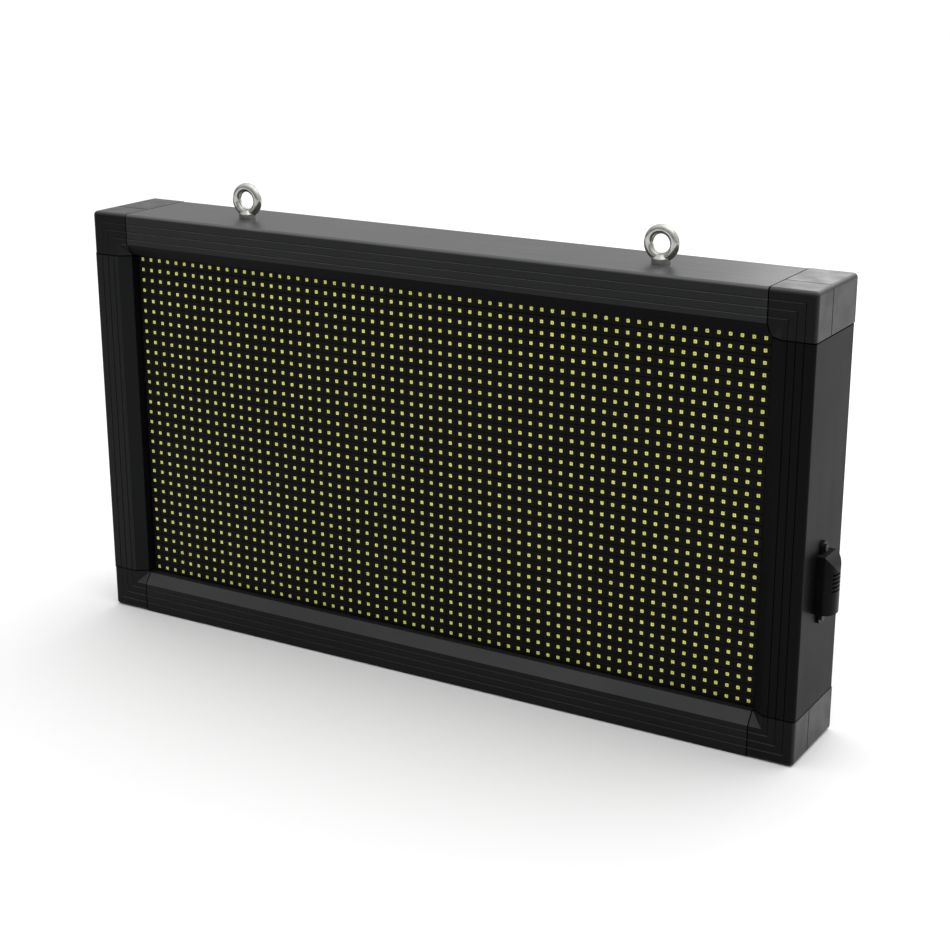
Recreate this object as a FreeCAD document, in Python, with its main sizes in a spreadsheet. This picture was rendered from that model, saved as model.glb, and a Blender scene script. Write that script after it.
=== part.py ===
import FreeCAD, Part
import math
import os
import Sketcher

# LED matrix display sign: black aluminium frame with moulded corners, four LED modules,
# two eye bolts to hang it by, a cable cowl on the right side and a hinged service door behind.
# Millimetres. X to the right, -Y towards the reader, +Z up. The origin is the middle of the
# bottom face: X = 0 halfway across, Y = 0 halfway through the profiles, Z = 0 underneath.

os.makedirs("parts", exist_ok=True)
doc = FreeCAD.newDocument("LedSign")

# ---------------------------------------------------------------- driving dimensions
DIMENSIONS = [
    ("display_width", 640.0, "four modules side by side in pairs: lit area, across"),
    ("display_height", 320.0, "lit area, up"),
    ("frame_depth", 85.0, "aluminium profile, front face to rear face"),
    ("face_width", 38.75, "profile, outer face to the lip around the display"),
    ("side_gap", 2.75, "lip to the lit area, left and right"),
    ("top_gap", 0.25, "lip to the lit area, above and below"),
    ("profile_wall", 1.8, "wall of the extruded profile"),
    ("chamber_depth", 30.0, "depth of the profile's hollow front chamber"),
    ("rear_flange", 14.0, "width of the flange that carries the rear panel"),
    ("bevel_width", 10.1, "inward bevel around the display, across"),
    ("bevel_depth", 7.7, "inward bevel around the display, in depth"),
    ("edge_radius", 3.0, "rounding of the profile's outer front edge"),
    ("groove_first", 0.332, "first decorative groove, as a share of the flat face"),
    ("groove_pitch", 0.244, "groove to groove, as a share of the flat face"),
    ("groove_width", 1.0, "V groove, across"),
    ("groove_depth", 0.7, "V groove, in depth"),
    ("corner_overhang", 1.25, "moulded corner's length along a profile, beyond the face width"),
    ("corner_wall", 2.5, "wall of the moulded corner"),
    ("corner_step", 2.0, "how far the corner stands behind the profile"),
    ("corner_radius", 4.0, "rounding of the corner's outer edges"),
    ("crease_place", 33.0, "front face to the moulded crease round the corner"),
    ("crease_width", 1.2, "crease, across"),
    ("crease_depth", 0.3, "crease"),
    ("seam_gap", 0.15, "gap between corner and profile"),
    ("tongue_length", 26.0, "corner's tongue inside the profile"),
    ("tongue_clearance", 0.3, "tongue to the chamber's walls"),
    ("tongue_front", 11.0, "front face of the frame to the tongue"),
    ("led_recess", 14.6, "front face of the frame to the tops of the LEDs"),
    ("led_height", 2.0, "LED package above its board"),
    ("led_window", 4.4, "square window in the mask around each LED"),
    ("module_gap", 0.4, "joint between modules"),
    ("mask_thickness", 1.9, "front mask of a module"),
    ("louvre_reach", 1.3, "sunshade louvre in front of the mask"),
    ("louvre_thickness", 0.8, "sunshade louvre"),
    ("board_thickness", 1.6, "circuit board"),
    ("shell_wall", 3.0, "walls and floor of the module's rear shell"),
    ("port_width", 46.0, "opening in the shell's floor for the connectors"),
    ("port_height", 30.0, "opening in the shell's floor for the connectors"),
    ("socket_width", 21.0, "data socket on a module's board"),
    ("power_socket_width", 10.0, "power socket on a module's board"),
    ("socket_height", 9.0, "both sockets, up"),
    ("socket_offset", 8.0, "middle of the port to the data socket"),
    ("power_offset", 12.0, "middle of the port to the power socket"),
    ("rail_width", 36.0, "upright channel that carries the modules"),
    ("rail_depth", 10.0, "upright channel"),
    ("rail_wall", 1.5, "upright channel"),
    ("rail_inset", 30.0, "edge of the lit area to the middle of an outer rail"),
    ("rail_lap", 22.0, "rail's overlap behind the chamber"),
    ("plate_thickness", 1.5, "equipment plate"),
    ("plate_share", 0.3625, "equipment plate's height, as a share of the lit area's"),
    ("supply_length", 214.0, "power supply case"),
    ("supply_margin", 6.0, "equipment plate's edge to the power supply case"),
    ("supply_clearance", 13.5, "power supply's cover to the rear of the frame"),
    ("supply_left", 250.0, "middle of the sign to the supply's left end"),
    ("card_width", 130.0, "control card"),
    ("card_margin", 16.0, "equipment plate's edge to the control card"),
    ("header_inset", 1.6, "card's left edge to the ribbon header"),
    ("standoff_height", 8.0, "pillars under the control card"),
    ("supply_wall", 1.2, "power supply case sheet"),
    ("supply_shelf", 18.0, "open end of the supply that carries the terminals"),
    ("shelf_depth", 8.0, "power supply's floor to the terminals"),
    ("vent_width", 4.0, "vent slot in the supply's cover"),
    ("vent_pitch", 13.0, "vent slot to vent slot"),
    ("vent_margin", 18.0, "vent slots to the cover's edges"),
    ("terminal_depth", 13.0, "terminal block, front to back"),
    ("terminal_floor", 5.0, "terminal block below its screws"),
    ("terminal_rib", 1.2, "half the rib between two terminals"),
    ("pillar_inset", 5.0, "card's edge to a pillar's axis"),
    ("header_height", 6.0, "ribbon header above the card"),
    ("ribbon_width", 20.0, "flat data cable"),
    ("ribbon_thickness", 1.0, "flat data cable"),
    ("panel_thickness", 2.0, "rear panel and service door"),
    ("panel_inset", 3.2, "outer face of the frame to the rear panel's edge"),
    ("door_width", 440.0, "service opening"),
    ("door_height", 216.0, "service opening"),
    ("door_gap", 0.6, "play between the door and its opening"),
    ("seal_lap", 7.0, "seal's overlap on each side of the opening's edge"),
    ("seal_thickness", 2.0, "door seal"),
    ("hinge_length", 42.0, "door hinge"),
    ("hinge_leaf", 17.0, "width of one hinge leaf"),
    ("hinge_leaf_thickness", 1.2, "hinge leaf"),
    ("knuckle_radius", 2.5, "hinge knuckle"),
    ("hinge_pin_radius", 1.2, "hinge pin"),
    ("running_clearance", 0.06, "radial play of a turning shaft"),
    ("hinge_spread", 130.0, "hinge to hinge"),
    ("lock_radius", 8.0, "cam lock barrel"),
    ("lock_inset", 17.0, "door's free edge to the lock's axis"),
    ("lock_depth", 6.0, "lock barrel behind the door"),
    ("lock_rim", 2.0, "lock's rim, both beyond the barrel and in thickness"),
    ("lock_nut_wall", 1.0, "lock nut, thinnest place round the barrel"),
    ("lock_nut_height", 3.5, "lock nut"),
    ("keyway_width", 1.2, "keyway in the plug"),
    ("keyway_height", 6.4, "keyway in the plug"),
    ("keyway_depth", 3.0, "keyway in the plug"),
    ("plug_radius", 5.0, "turning plug of the lock"),
    ("cam_length", 27.0, "lock's axis to the cam's tip"),
    ("cam_width", 12.0, "cam"),
    ("cam_thickness", 2.5, "cam"),
    ("bolt_offset", 210.0, "middle of the sign to each eye bolt"),
    ("fitting_axis", 12.5, "back of the chamber to the axis of the eye bolts and of the cable entry"),
    ("bolt_radius", 4.0, "eye bolt shank, M8"),
    ("bolt_length", 24.0, "eye bolt shank below the collar"),
    ("ring_radius", 11.7, "middle of the sign's eye ring wire, from the eye's centre"),
    ("ring_wire", 4.0, "radius of the eye ring's wire"),
    ("ring_height", 16.7, "top face to the eye's centre"),
    ("collar_radius", 8.2, "eye bolt collar"),
    ("collar_height", 4.4, "eye bolt collar"),
    ("nut_flats", 13.0, "M8 nut across flats"),
    ("nut_height", 6.5, "M8 nut"),
    ("washer_radius", 8.0, "M8 washer"),
    ("washer_thickness", 1.6, "M8 washer"),
    ("spreader_thickness", 3.0, "steel plate under the top profile at each eye bolt"),
    ("cowl_height", 150.0, "bottom of the sign to the middle of the cowl"),
    ("cowl_width", 26.0, "cowl, front to back"),
    ("cowl_base_depth", 7.1, "straight part of the cowl, outwards"),
    ("cowl_bulge", 8.4, "rounded part of the cowl, outwards"),
    ("roof_drop", 14.0, "fall of the cowl's sloping roof"),
    ("roof_rise", 1.5, "how far the roof bows out from flat"),
    ("cowl_top", 26.0, "middle of the cowl to its top"),
    ("cowl_bottom", 24.0, "middle of the cowl to its open bottom"),
    ("cowl_wall", 1.8, "wall of the cowl"),
    ("ear_reach", 36.0, "middle of the cowl to the ends of its ears"),
    ("ear_width", 12.0, "screw ear"),
    ("ear_thickness", 2.2, "screw ear"),
    ("slot_height", 1.7, "louvre slot in the cowl"),
    ("slot_pitch", 3.55, "louvre slot to louvre slot"),
    ("slot_middle", 3.3, "middle of the cowl up to the middle slot"),
    ("grommet_bore", 4.2, "radius of the cable's way through the grommet"),
    ("grommet_neck", 7.0, "radius of the grommet in the profile's wall"),
    ("grommet_lip", 9.0, "radius of the grommet's lips"),
    ("grommet_lip_thickness", 2.0, "grommet lip"),
    ("screw_radius", 1.6, "small self-tapping screw"),
    ("screw_head", 3.2, "head of a small screw"),
    ("screw_head_height", 1.8, "head of a small screw"),
    ("lead_radius", 1.5, "insulated low-voltage lead"),
    ("mains_radius", 3.0, "supply lead inside the case"),
]
sheet = doc.addObject("Spreadsheet::Sheet", "Dimensions")
for row, (alias, number, note) in enumerate(DIMENSIONS, start=1):
    sheet.set("A%d" % row, str(number))
    sheet.setAlias("A%d" % row, alias)
    sheet.set("B%d" % row, note)
doc.recompute()


class Size:
    """A length that knows its number and the sheet expression it comes from."""

    def __init__(self, number, text):
        self.number = float(number)
        self.text = text

    def join(self, other, sign, result, turned=False):
        text = other.text if isinstance(other, Size) else repr(float(other))
        first, second = (text, self.text) if turned else (self.text, text)
        return Size(result, "(%s %s %s)" % (first, sign, second))

    def __add__(self, other):
        return self.join(other, "+", self.number + number(other))

    def __radd__(self, other):
        return self.join(other, "+", number(other) + self.number, True)

    def __sub__(self, other):
        return self.join(other, "-", self.number - number(other))

    def __rsub__(self, other):
        return self.join(other, "-", number(other) - self.number, True)

    def __mul__(self, other):
        return self.join(other, "*", self.number * number(other))

    def __rmul__(self, other):
        return self.join(other, "*", number(other) * self.number, True)

    def __truediv__(self, other):
        return self.join(other, "/", self.number / number(other))

    def __neg__(self):
        return Size(-self.number, "(0 - %s)" % self.text)


def number(value):
    return value.number if isinstance(value, Size) else float(value)


def text(value):
    return value.text if isinstance(value, Size) else repr(float(value))


def cell(alias):
    return Size(sheet.get(alias), "Dimensions." + alias)


d = {alias: cell(alias) for alias, _, _ in DIMENSIONS}

# ---------------------------------------------------------------- places worked out from the sheet
half_width = d["display_width"] / 2 + d["side_gap"] + d["face_width"]
height = d["display_height"] + 2 * (d["top_gap"] + d["face_width"])
front = -d["frame_depth"] / 2
rear = d["frame_depth"] / 2
rear_plane = rear + d["panel_thickness"]
chamber_back = front + d["chamber_depth"]
led_plane = front + d["led_recess"]
board_front = led_plane + d["led_height"]
board_back = board_front + d["board_thickness"]
mask_back = board_front - 0.1
module_width = d["display_width"] / 2 - d["module_gap"]
module_height = d["display_height"] / 2 - d["module_gap"]
middle = height / 2
corner_leg = d["face_width"] + d["corner_overhang"]
flat_face = d["face_width"] - d["bevel_width"]
plate_height = d["display_height"] * d["plate_share"]
fitting_y = chamber_back + d["fitting_axis"]
ZERO = Size(0, "0")
rail_back = chamber_back + d["rail_depth"]
plate_back = rail_back + d["plate_thickness"]
COLUMNS, ROWS = 32, 16

NODES = {}


def bind(obj, path, value):
    obj.setExpression(path, text(value))


def place(obj, x=0, y=0, z=0):
    for axis, value in zip("xyz", (x, y, z)):
        if isinstance(value, Size):
            bind(obj, "Placement.Base." + axis, value)
    base = FreeCAD.Vector(number(x), number(y), number(z))
    obj.Placement = FreeCAD.Placement(base, obj.Placement.Rotation)


def plain(name):
    """A node's name as a FreeCAD object name."""
    return name.title().replace("_", "")


def node(obj, name):
    obj.Label = name
    NODES[name] = obj
    return obj


def box(name, x, y, z):
    """A box from three (low, high) pairs."""
    obj = doc.addObject("Part::Box", name)
    for path, (low, high) in zip(("Length", "Width", "Height"), (x, y, z)):
        bind(obj, path, high - low)
    place(obj, x[0], y[0], z[0])
    return obj


AXES = {
    "x": FreeCAD.Rotation(FreeCAD.Vector(0, 1, 0), 90),
    "y": FreeCAD.Rotation(FreeCAD.Vector(1, 0, 0), -90),
    "z": FreeCAD.Rotation(),
}


def rod(name, axis, radius, start, length):
    """A cylinder along an axis from its start point."""
    obj = doc.addObject("Part::Cylinder", name)
    bind(obj, "Radius", radius)
    bind(obj, "Height", length)
    obj.Placement.Rotation = AXES[axis]
    place(obj, *start)
    return obj


def fuse(name, shapes):
    obj = doc.addObject("Part::MultiFuse", name)
    obj.Shapes = shapes
    return obj


def cut(name, base, tools):
    obj = doc.addObject("Part::Cut", name)
    obj.Base = base
    obj.Tool = tools[0] if len(tools) == 1 else fuse(name + "Tools", tools)
    return obj


def group(name, shapes):
    """Separate solids in one node."""
    obj = doc.addObject("Part::Compound", name)
    obj.Links = shapes
    return obj


def plane_of(body, role):
    return next(f for f in body.Origin.OriginFeatures if f.Role == role)


def padded(name, role, loops, length, start):
    """A body made by padding closed polygons drawn on an origin plane.

    start is how far along the plane's normal the pad begins.
    """
    body = doc.addObject("PartDesign::Body", name)
    sketch = body.newObject("Sketcher::SketchObject", name + "Sketch")
    sketch.AttachmentSupport = (plane_of(body, role), [""])
    sketch.MapMode = "FlatFace"
    for points in loops:
        draw_polygon(sketch, points)
    pad = body.newObject("PartDesign::Pad", name + "Pad")
    pad.Profile = sketch
    bind(pad, "Length", length)
    axis = {"YZ_Plane": 0, "XZ_Plane": 1, "XY_Plane": 2}[role]
    offset = [0, 0, 0]
    offset[axis] = start
    place(body, *offset)
    doc.recompute()
    return body


def draw_polygon(sketch, points):
    """Straight sides through the points, each point held by its own two dimensions."""
    corners = [FreeCAD.Vector(number(a), number(b), 0) for a, b in points]
    first = sketch.GeometryCount
    for index, corner in enumerate(corners):
        following = corners[(index + 1) % len(corners)]
        sketch.addGeometry(Part.LineSegment(corner, following), False)
    for index, (across, up) in enumerate(points):
        line = first + index
        before = first + (index - 1) % len(points)
        sketch.addConstraint(Sketcher.Constraint("Coincident", before, 2, line, 1))
        hold(sketch, "DistanceX", line, across)
        hold(sketch, "DistanceY", line, up)


def hold(sketch, kind, line, value):
    """A dimension from the sketch's origin to a line's first point."""
    index = sketch.addConstraint(Sketcher.Constraint(kind, -1, 1, line, 1, number(value)))
    if isinstance(value, Size):
        sketch.setExpression("Constraints[%d]" % index, value.text)


def edge_along(shape, point, direction):
    """The name of the straight edge that runs through a point in a direction."""
    target = FreeCAD.Vector(*point)
    for index, edge in enumerate(shape.Edges, start=1):
        if len(edge.Vertexes) != 2 or edge.Curve.TypeId != "Part::GeomLine":
            continue
        start, end = (vertex.Point for vertex in edge.Vertexes)
        along = (end - start).normalize()
        if abs(along.dot(FreeCAD.Vector(*direction))) < 0.999:
            continue
        if target.distanceToLine(start, along) < 1e-4:
            return "Edge%d" % index
    raise RuntimeError("no edge at %s" % (point,))


def screw(name, axis, head, direction, length, radius, head_radius, head_height):
    """A pan head whose underside is at head, with its shank the other way."""
    turned = {"x": 0, "y": 1, "z": 2}[axis]
    low_head, low_shank = list(head), list(head)
    if direction > 0:
        low_shank[turned] = head[turned] - length
    else:
        low_head[turned] = head[turned] - head_height
    cap = rod(name + "Head", axis, head_radius, low_head, head_height)
    shank = rod(name + "Shank", axis, radius, low_shank, length)
    return fuse(name, [cap, shank])


def small_screws(name, axis, heads, direction, length):
    """Small screws at several places, as one node."""
    sizes = (length, d["screw_radius"], d["screw_head"], d["screw_head_height"])
    screws = [screw("%s%d" % (name, i), axis, head, direction, *sizes) for i, head in enumerate(heads)]
    return group(name, screws)


def holes(name, axis, places, radius, before, through):
    """Cylinders that cut a hole at each place, from before the place to beyond it."""
    turned = {"x": 0, "y": 1, "z": 2}[axis]
    drills = []
    for index, spot in enumerate(places):
        start = list(spot)
        start[turned] = spot[turned] - before
        drills.append(rod("%s%d" % (name, index), axis, radius, start, through))
    return drills


# ---------------------------------------------------------------- frame profiles and corners
GROOVES = 3


def face_outline():
    """Front of the section from the outer edge to the lip: (inwards, from the front)."""
    points = [(ZERO, ZERO)]
    for index in range(GROOVES):
        centre = flat_face * (d["groove_first"] + index * d["groove_pitch"])
        points.append((centre - d["groove_width"] / 2, ZERO))
        points.append((centre, d["groove_depth"]))
        points.append((centre + d["groove_width"] / 2, ZERO))
    points.append((d["face_width"] - d["bevel_width"], ZERO))
    points.append((d["face_width"], d["bevel_depth"]))
    return points


def profile_section():
    """Outer loop and chamber loop of the extruded profile."""
    wall = d["profile_wall"]
    outer = face_outline() + [
        (d["face_width"], d["chamber_depth"]),
        (wall, d["chamber_depth"]),
        (wall, d["frame_depth"] - wall),
        (d["rear_flange"], d["frame_depth"] - wall),
        (d["rear_flange"], d["frame_depth"]),
        (ZERO, d["frame_depth"]),
    ]
    floor = wall + d["groove_depth"]
    chamber = [
        (wall, floor),
        (d["face_width"] - d["bevel_width"] - wall, floor),
        (d["face_width"] - wall, d["bevel_depth"] + floor),
        (d["face_width"] - wall, d["chamber_depth"] - wall),
        (wall, d["chamber_depth"] - wall),
    ]
    return [outer, chamber]


def corner_section():
    """The moulded corner's thin-walled section."""
    wall = d["corner_wall"]
    deep = d["frame_depth"] + d["corner_step"]
    floor = wall + d["groove_depth"]
    return [face_outline() + [
        (d["face_width"], d["chamber_depth"]),
        (d["face_width"] - wall, d["chamber_depth"]),
        (d["face_width"] - wall, d["bevel_depth"] + floor),
        (d["face_width"] - d["bevel_width"] - wall / 2, floor),
        (wall, floor),
        (wall, deep),
        (ZERO, deep),
    ]]


def on_level_member(loops, top):
    """Section points on the YZ plane for a member that runs along X."""
    return [[(front + v, height - u if top else u) for u, v in loop] for loop in loops]


def on_upright_member(loops, right):
    """Section points on the XY plane for a member that runs along Z."""
    return [[(half_width - u if right else u - half_width, front + v) for u, v in loop] for loop in loops]


def round_front_edge(body, point, direction, radius):
    pad = body.Tip
    fillet = body.newObject("PartDesign::Fillet", body.Name + "Edge")
    fillet.Base = (pad, [edge_along(pad.Shape, point, direction)])
    bind(fillet, "Radius", radius)
    body.Tip = fillet


def level_profile(name, top):
    start = -(half_width - corner_leg - d["seam_gap"])
    section = on_level_member(profile_section(), top)
    body = padded(plain(name), "YZ_Plane", section, -2 * start, start)
    edge = (0, number(front), number(height) if top else 0)
    round_front_edge(body, edge, (1, 0, 0), d["edge_radius"])
    return body


def upright_profile(name, right):
    start = corner_leg + d["seam_gap"]
    section = on_upright_member(profile_section(), right)
    body = padded(plain(name), "XY_Plane", section, height - 2 * start, start)
    edge = (number(half_width) * (1 if right else -1), number(front), 0)
    round_front_edge(body, edge, (0, 0, 1), d["edge_radius"])
    return body


def mitre_triangle(right, top, level):
    """Half of the corner square, on the XZ plane, that the other leg fills."""
    def at(inward_x, inward_z):
        across = half_width - inward_x if right else inward_x - half_width
        up = height - inward_z if top else inward_z
        return (across, up)
    low, far = Size(-5, "-5"), corner_leg + 5
    if level:
        return [at(low, low), at(far, far), at(low, far)]
    return [at(low, low), at(far, far), at(far, low)]


def mitred_leg(name, right, top, level):
    """One leg of a corner: the section along X or Z, cut at 45 degrees."""
    leg = corner_leg
    if level:
        section = on_level_member(corner_section(), top)
        start = half_width - leg if right else -half_width
        body = padded(name, "YZ_Plane", section, leg, start)
    else:
        section = on_upright_member(corner_section(), right)
        start = height - leg if top else ZERO
        body = padded(name, "XY_Plane", section, leg, start)
    knife = doc.addObject("Part::Extrusion", name + "Knife")
    triangle = doc.addObject("Sketcher::SketchObject", name + "Triangle")
    upright = FreeCAD.Rotation(FreeCAD.Vector(1, 0, 0), 90)
    triangle.Placement = FreeCAD.Placement(FreeCAD.Vector(0, number(front) - 5, 0), upright)
    draw_polygon(triangle, mitre_triangle(right, top, level))
    knife.Base = triangle
    knife.DirMode = "Custom"
    knife.Dir = FreeCAD.Vector(0, 1, 0)
    knife.Solid = True
    bind(knife, "LengthFwd", d["frame_depth"] + d["corner_step"] + 10)
    return cut(name + "Mitred", body, [knife])


def from_corner(across, up, right, top):
    """Ranges measured inwards from a corner of the frame, as ranges of X and Z."""
    x = (across[0] - half_width, across[1] - half_width)
    if right:
        x = (half_width - across[1], half_width - across[0])
    z = (height - up[1], height - up[0]) if top else up
    return x, z


def tongue(name, right, top, level):
    """The solid tongue that slides into a profile's chamber."""
    slack = d["profile_wall"] + d["tongue_clearance"]
    long_range = (d["corner_wall"] - 0.5, corner_leg + d["tongue_length"])
    short_range = (slack, d["face_width"] - slack)
    across, up = (long_range, short_range) if level else (short_range, long_range)
    x, z = from_corner(across, up, right, top)
    y = (front + d["tongue_front"], chamber_back - slack)
    return box(name, x, y, z)


def corner(name, right, top):
    label = plain(name)
    parts = []
    for kind, level in (("Level", True), ("Upright", False)):
        parts.append(mitred_leg(label + kind, right, top, level))
        parts.append(tongue(label + "Tongue" + kind, right, top, level))
    whole = fuse(label + "Whole", parts)
    whole.Refine = True
    doc.recompute()
    x = number(half_width) * (1 if right else -1)
    z = number(height) if top else 0.0
    y = number(front)
    shape = whole.Shape
    edges = [edge_along(shape, (x, 0, z), (0, 1, 0))]
    edges.append(edge_along(shape, (0, y, z), (1, 0, 0)))
    edges.append(edge_along(shape, (x, y, 0), (0, 0, 1)))
    rounded = doc.addObject("Part::Fillet", label)
    rounded.Base = whole
    radius = number(d["corner_radius"])
    rounded.Edges = [(int(edge[4:]), radius, radius) for edge in edges]
    return rounded


def creases(name, right, top):
    """Cutters for the shallow crease across the corner's outer side and outer level face."""
    centre = front + d["crease_place"]
    y = (centre - d["crease_width"] / 2, centre + d["crease_width"] / 2)
    beyond, inward, shallow = ZERO - 1, corner_leg + 1, d["crease_depth"]
    cutters = []
    faces = (("Side", (beyond, shallow), (beyond, inward)), ("Level", (beyond, inward), (beyond, shallow)))
    for label, across, up in faces:
        x, z = from_corner(across, up, right, top)
        cutters.append(box(name + label, x, y, z))
    return cutters


SIDES = {"left": -1, "right": 1}
LEVELS = {"bottom": 0, "top": 1}
corner_reach = corner_leg + 0.3 * d["tongue_length"]


def corner_screw_places(level):
    """Underside of each head, behind the chamber, on the level or the upright profiles."""
    along = corner_reach
    across = d["face_width"] / 2
    inward_x, inward_z = (along, across) if level else (across, along)
    places = []
    for side in SIDES.values():
        for top in LEVELS.values():
            x = side * (half_width - inward_x)
            z = height - inward_z if top else inward_z
            places.append((x, chamber_back, z))
    return places


rail_places = {
    "left": -(d["display_width"] / 2 - d["rail_inset"]),
    "centre": ZERO,
    "right": d["display_width"] / 2 - d["rail_inset"],
}
rail_low = d["face_width"] - d["rail_lap"]
rail_high = height - rail_low
rail_screw_up = d["face_width"] - d["rail_lap"] / 2


def rail_screw_places():
    """Heads on the rails' webs, over the level profiles' chambers."""
    places = []
    for x in rail_places.values():
        for z in (rail_screw_up, height - rail_screw_up):
            places.append((x, chamber_back + d["rail_wall"], z))
    return places


PANEL_SCREW_SHARES = (-0.8, -0.4, 0.0, 0.4, 0.8)
UPRIGHT_SCREW_SHARES = (-0.5, 0.0, 0.5)
panel_screw_inset = d["rear_flange"] / 2 + 1


def panel_screw_places():
    places = []
    for share in PANEL_SCREW_SHARES:
        for z in (panel_screw_inset, height - panel_screw_inset):
            places.append((share * (half_width - corner_leg), rear_plane, z))
    for share in UPRIGHT_SCREW_SHARES:
        for side in SIDES.values():
            up = middle + share * (middle - corner_leg)
            places.append((side * (half_width - panel_screw_inset), rear_plane, up))
    return places


bolt_places = {"left": -d["bolt_offset"], "right": d["bolt_offset"]}
bolt_hole = d["bolt_radius"] + d["running_clearance"]
ear_offset = d["ear_reach"] - d["ear_width"] / 2
cowl_ears = (d["cowl_height"] - ear_offset, d["cowl_height"] + ear_offset)


def drilled(name, body, drills):
    return node(cut(plain(name) + "Drilled", body, drills), name)


def above(spot):
    return number(spot[2]) > number(middle)


def on_level(spot):
    """True for a rear panel screw that sits in a level profile's flange."""
    return abs(number(spot[2]) - number(middle)) > number(middle - corner_leg) + 1


def level_cutters(name, top):
    """Screw holes in a level profile's web and flange."""
    behind = d["profile_wall"] + 2
    web = [s for s in corner_screw_places(True) + rail_screw_places() if above(s) == top]
    deep = behind + d["rail_wall"]
    cutters = holes(name + "Web", "y", web, d["screw_radius"], deep, deep + d["rail_wall"])
    flange = [s for s in panel_screw_places() if on_level(s) and above(s) == top]
    reach = d["panel_thickness"] + behind
    return cutters + holes(name + "Flange", "y", flange, d["screw_radius"], reach, reach + 1)


def upright_cutters(name, side):
    """Screw holes in an upright profile's web and flange."""
    behind = d["profile_wall"] + 2
    web = [s for s in corner_screw_places(False) if number(s[0]) * side > 0]
    cutters = holes(name + "Web", "y", web, d["screw_radius"], behind, behind + 2)
    flange = [s for s in panel_screw_places() if not on_level(s) and number(s[0]) * side > 0]
    reach = d["panel_thickness"] + behind
    return cutters + holes(name + "Flange", "y", flange, d["screw_radius"], reach, reach + 1)


def bolt_cutters():
    behind = d["profile_wall"] + 2
    return [rod("BoltHole" + side.title(), "z", bolt_hole, (x, fitting_y, height - behind), behind + 2)
            for side, x in bolt_places.items()]


def cable_cutters():
    """The grommet's hole and the cowl's two screw holes, through the right profile's side."""
    behind = d["profile_wall"] + 2
    start = half_width - behind
    cutters = [rod("GrommetHole", "x", d["grommet_neck"], (start, fitting_y, d["cowl_height"]), behind + 2)]
    for index, z in enumerate(cowl_ears):
        cutters.append(rod("EarHole%d" % index, "x", d["screw_radius"], (start, fitting_y, z), behind + 2))
    return cutters


def frame_profiles():
    for name, top in (("bottom_profile", False), ("top_profile", True)):
        cutters = level_cutters(name, top)
        if top:
            cutters += bolt_cutters()
        drilled(name, level_profile(name, top), cutters)
    for name, right in (("left_profile", False), ("right_profile", True)):
        cutters = upright_cutters(name, 1 if right else -1)
        if right:
            cutters += cable_cutters()
        drilled(name, upright_profile(name, right), cutters)


def frame_corners():
    spots = corner_screw_places(True) + corner_screw_places(False)
    for level, top in LEVELS.items():
        for side, sign in SIDES.items():
            name = "corner_%s_%s" % (level, side)
            body = corner(name, sign > 0, bool(top))
            mine = [s for s in spots if number(s[0]) * sign > 0 and above(s) == bool(top)]
            cutters = holes(name + "Drill", "y", mine, d["screw_radius"], 10, Size(12, "12"))
            cutters += creases(plain(name) + "Crease", sign > 0, bool(top))
            drilled(name, body, cutters)
    length = d["profile_wall"] + 7
    node(small_screws("CornerScrews", "y", spots, 1, length), "corner_screws")


# ---------------------------------------------------------------- LED modules
def module_places():
    """Name, centre X and centre Z of each module."""
    places = []
    for level, up in (("upper", 1), ("lower", -1)):
        for side, sign in SIDES.items():
            x = sign * d["display_width"] / 4
            z = middle + up * d["display_height"] / 4
            places.append(("%s_%s" % (level, side), x, z))
    return places


def mask_shape():
    """A mask about its own centre: a plate with a window for each LED and a louvre over each row."""
    width, tall = number(module_width), number(module_height)
    across = number(d["display_width"]) / 2 / COLUMNS
    up = number(d["display_height"]) / 2 / ROWS
    window = number(d["led_window"])
    front_y = number(mask_back) - number(d["mask_thickness"])
    wires = [rectangle(0, 0, width, tall)]
    for column in range(COLUMNS):
        for row in range(ROWS):
            x = (column - (COLUMNS - 1) / 2) * across
            z = (row - (ROWS - 1) / 2) * up
            wires.append(rectangle(x, z, window, window))
    face = Part.Face(wires, "Part::FaceMakerBullseye")
    plate = face.extrude(FreeCAD.Vector(0, number(d["mask_thickness"]), 0))
    plate.translate(FreeCAD.Vector(0, front_y, 0))
    thick, reach = number(d["louvre_thickness"]), number(d["louvre_reach"])
    louvres = []
    for row in range(ROWS):
        z = (row - (ROWS - 1) / 2) * up + up / 2 - thick / 2 - 0.4
        corner_point = FreeCAD.Vector(-width / 2 + 0.5, front_y - reach, z - thick / 2)
        louvres.append(Part.makeBox(width - 1, reach + 0.2, thick, corner_point))
    return plate.fuse(louvres).removeSplitter()


def rectangle(x, z, width, tall):
    low_x, high_x, low_z, high_z = x - width / 2, x + width / 2, z - tall / 2, z + tall / 2
    points = [(low_x, low_z), (high_x, low_z), (high_x, high_z), (low_x, high_z), (low_x, low_z)]
    return Part.makePolygon([FreeCAD.Vector(a, 0, b) for a, b in points])


MODULE_SCREW_SPREAD = 0.36


PORT_SHARES = (-0.25, 0.25)


def port_middles(x):
    """Middles of the two connector ports behind a module whose own middle is at x."""
    return [x + share * module_width for share in PORT_SHARES]


def module_screw_places():
    """Heads on the rails' webs: the outer rails hold one column of modules, the centre rail both."""
    reach = d["rail_width"] / 4
    places = []
    for _, x, z in module_places():
        sign = 1 if number(x) > 0 else -1
        for across in (sign * rail_places["right"], ZERO + sign * reach):
            for share in (-MODULE_SCREW_SPREAD, MODULE_SCREW_SPREAD):
                places.append((across, chamber_back + d["rail_wall"], z + share * module_height))
    return places


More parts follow.
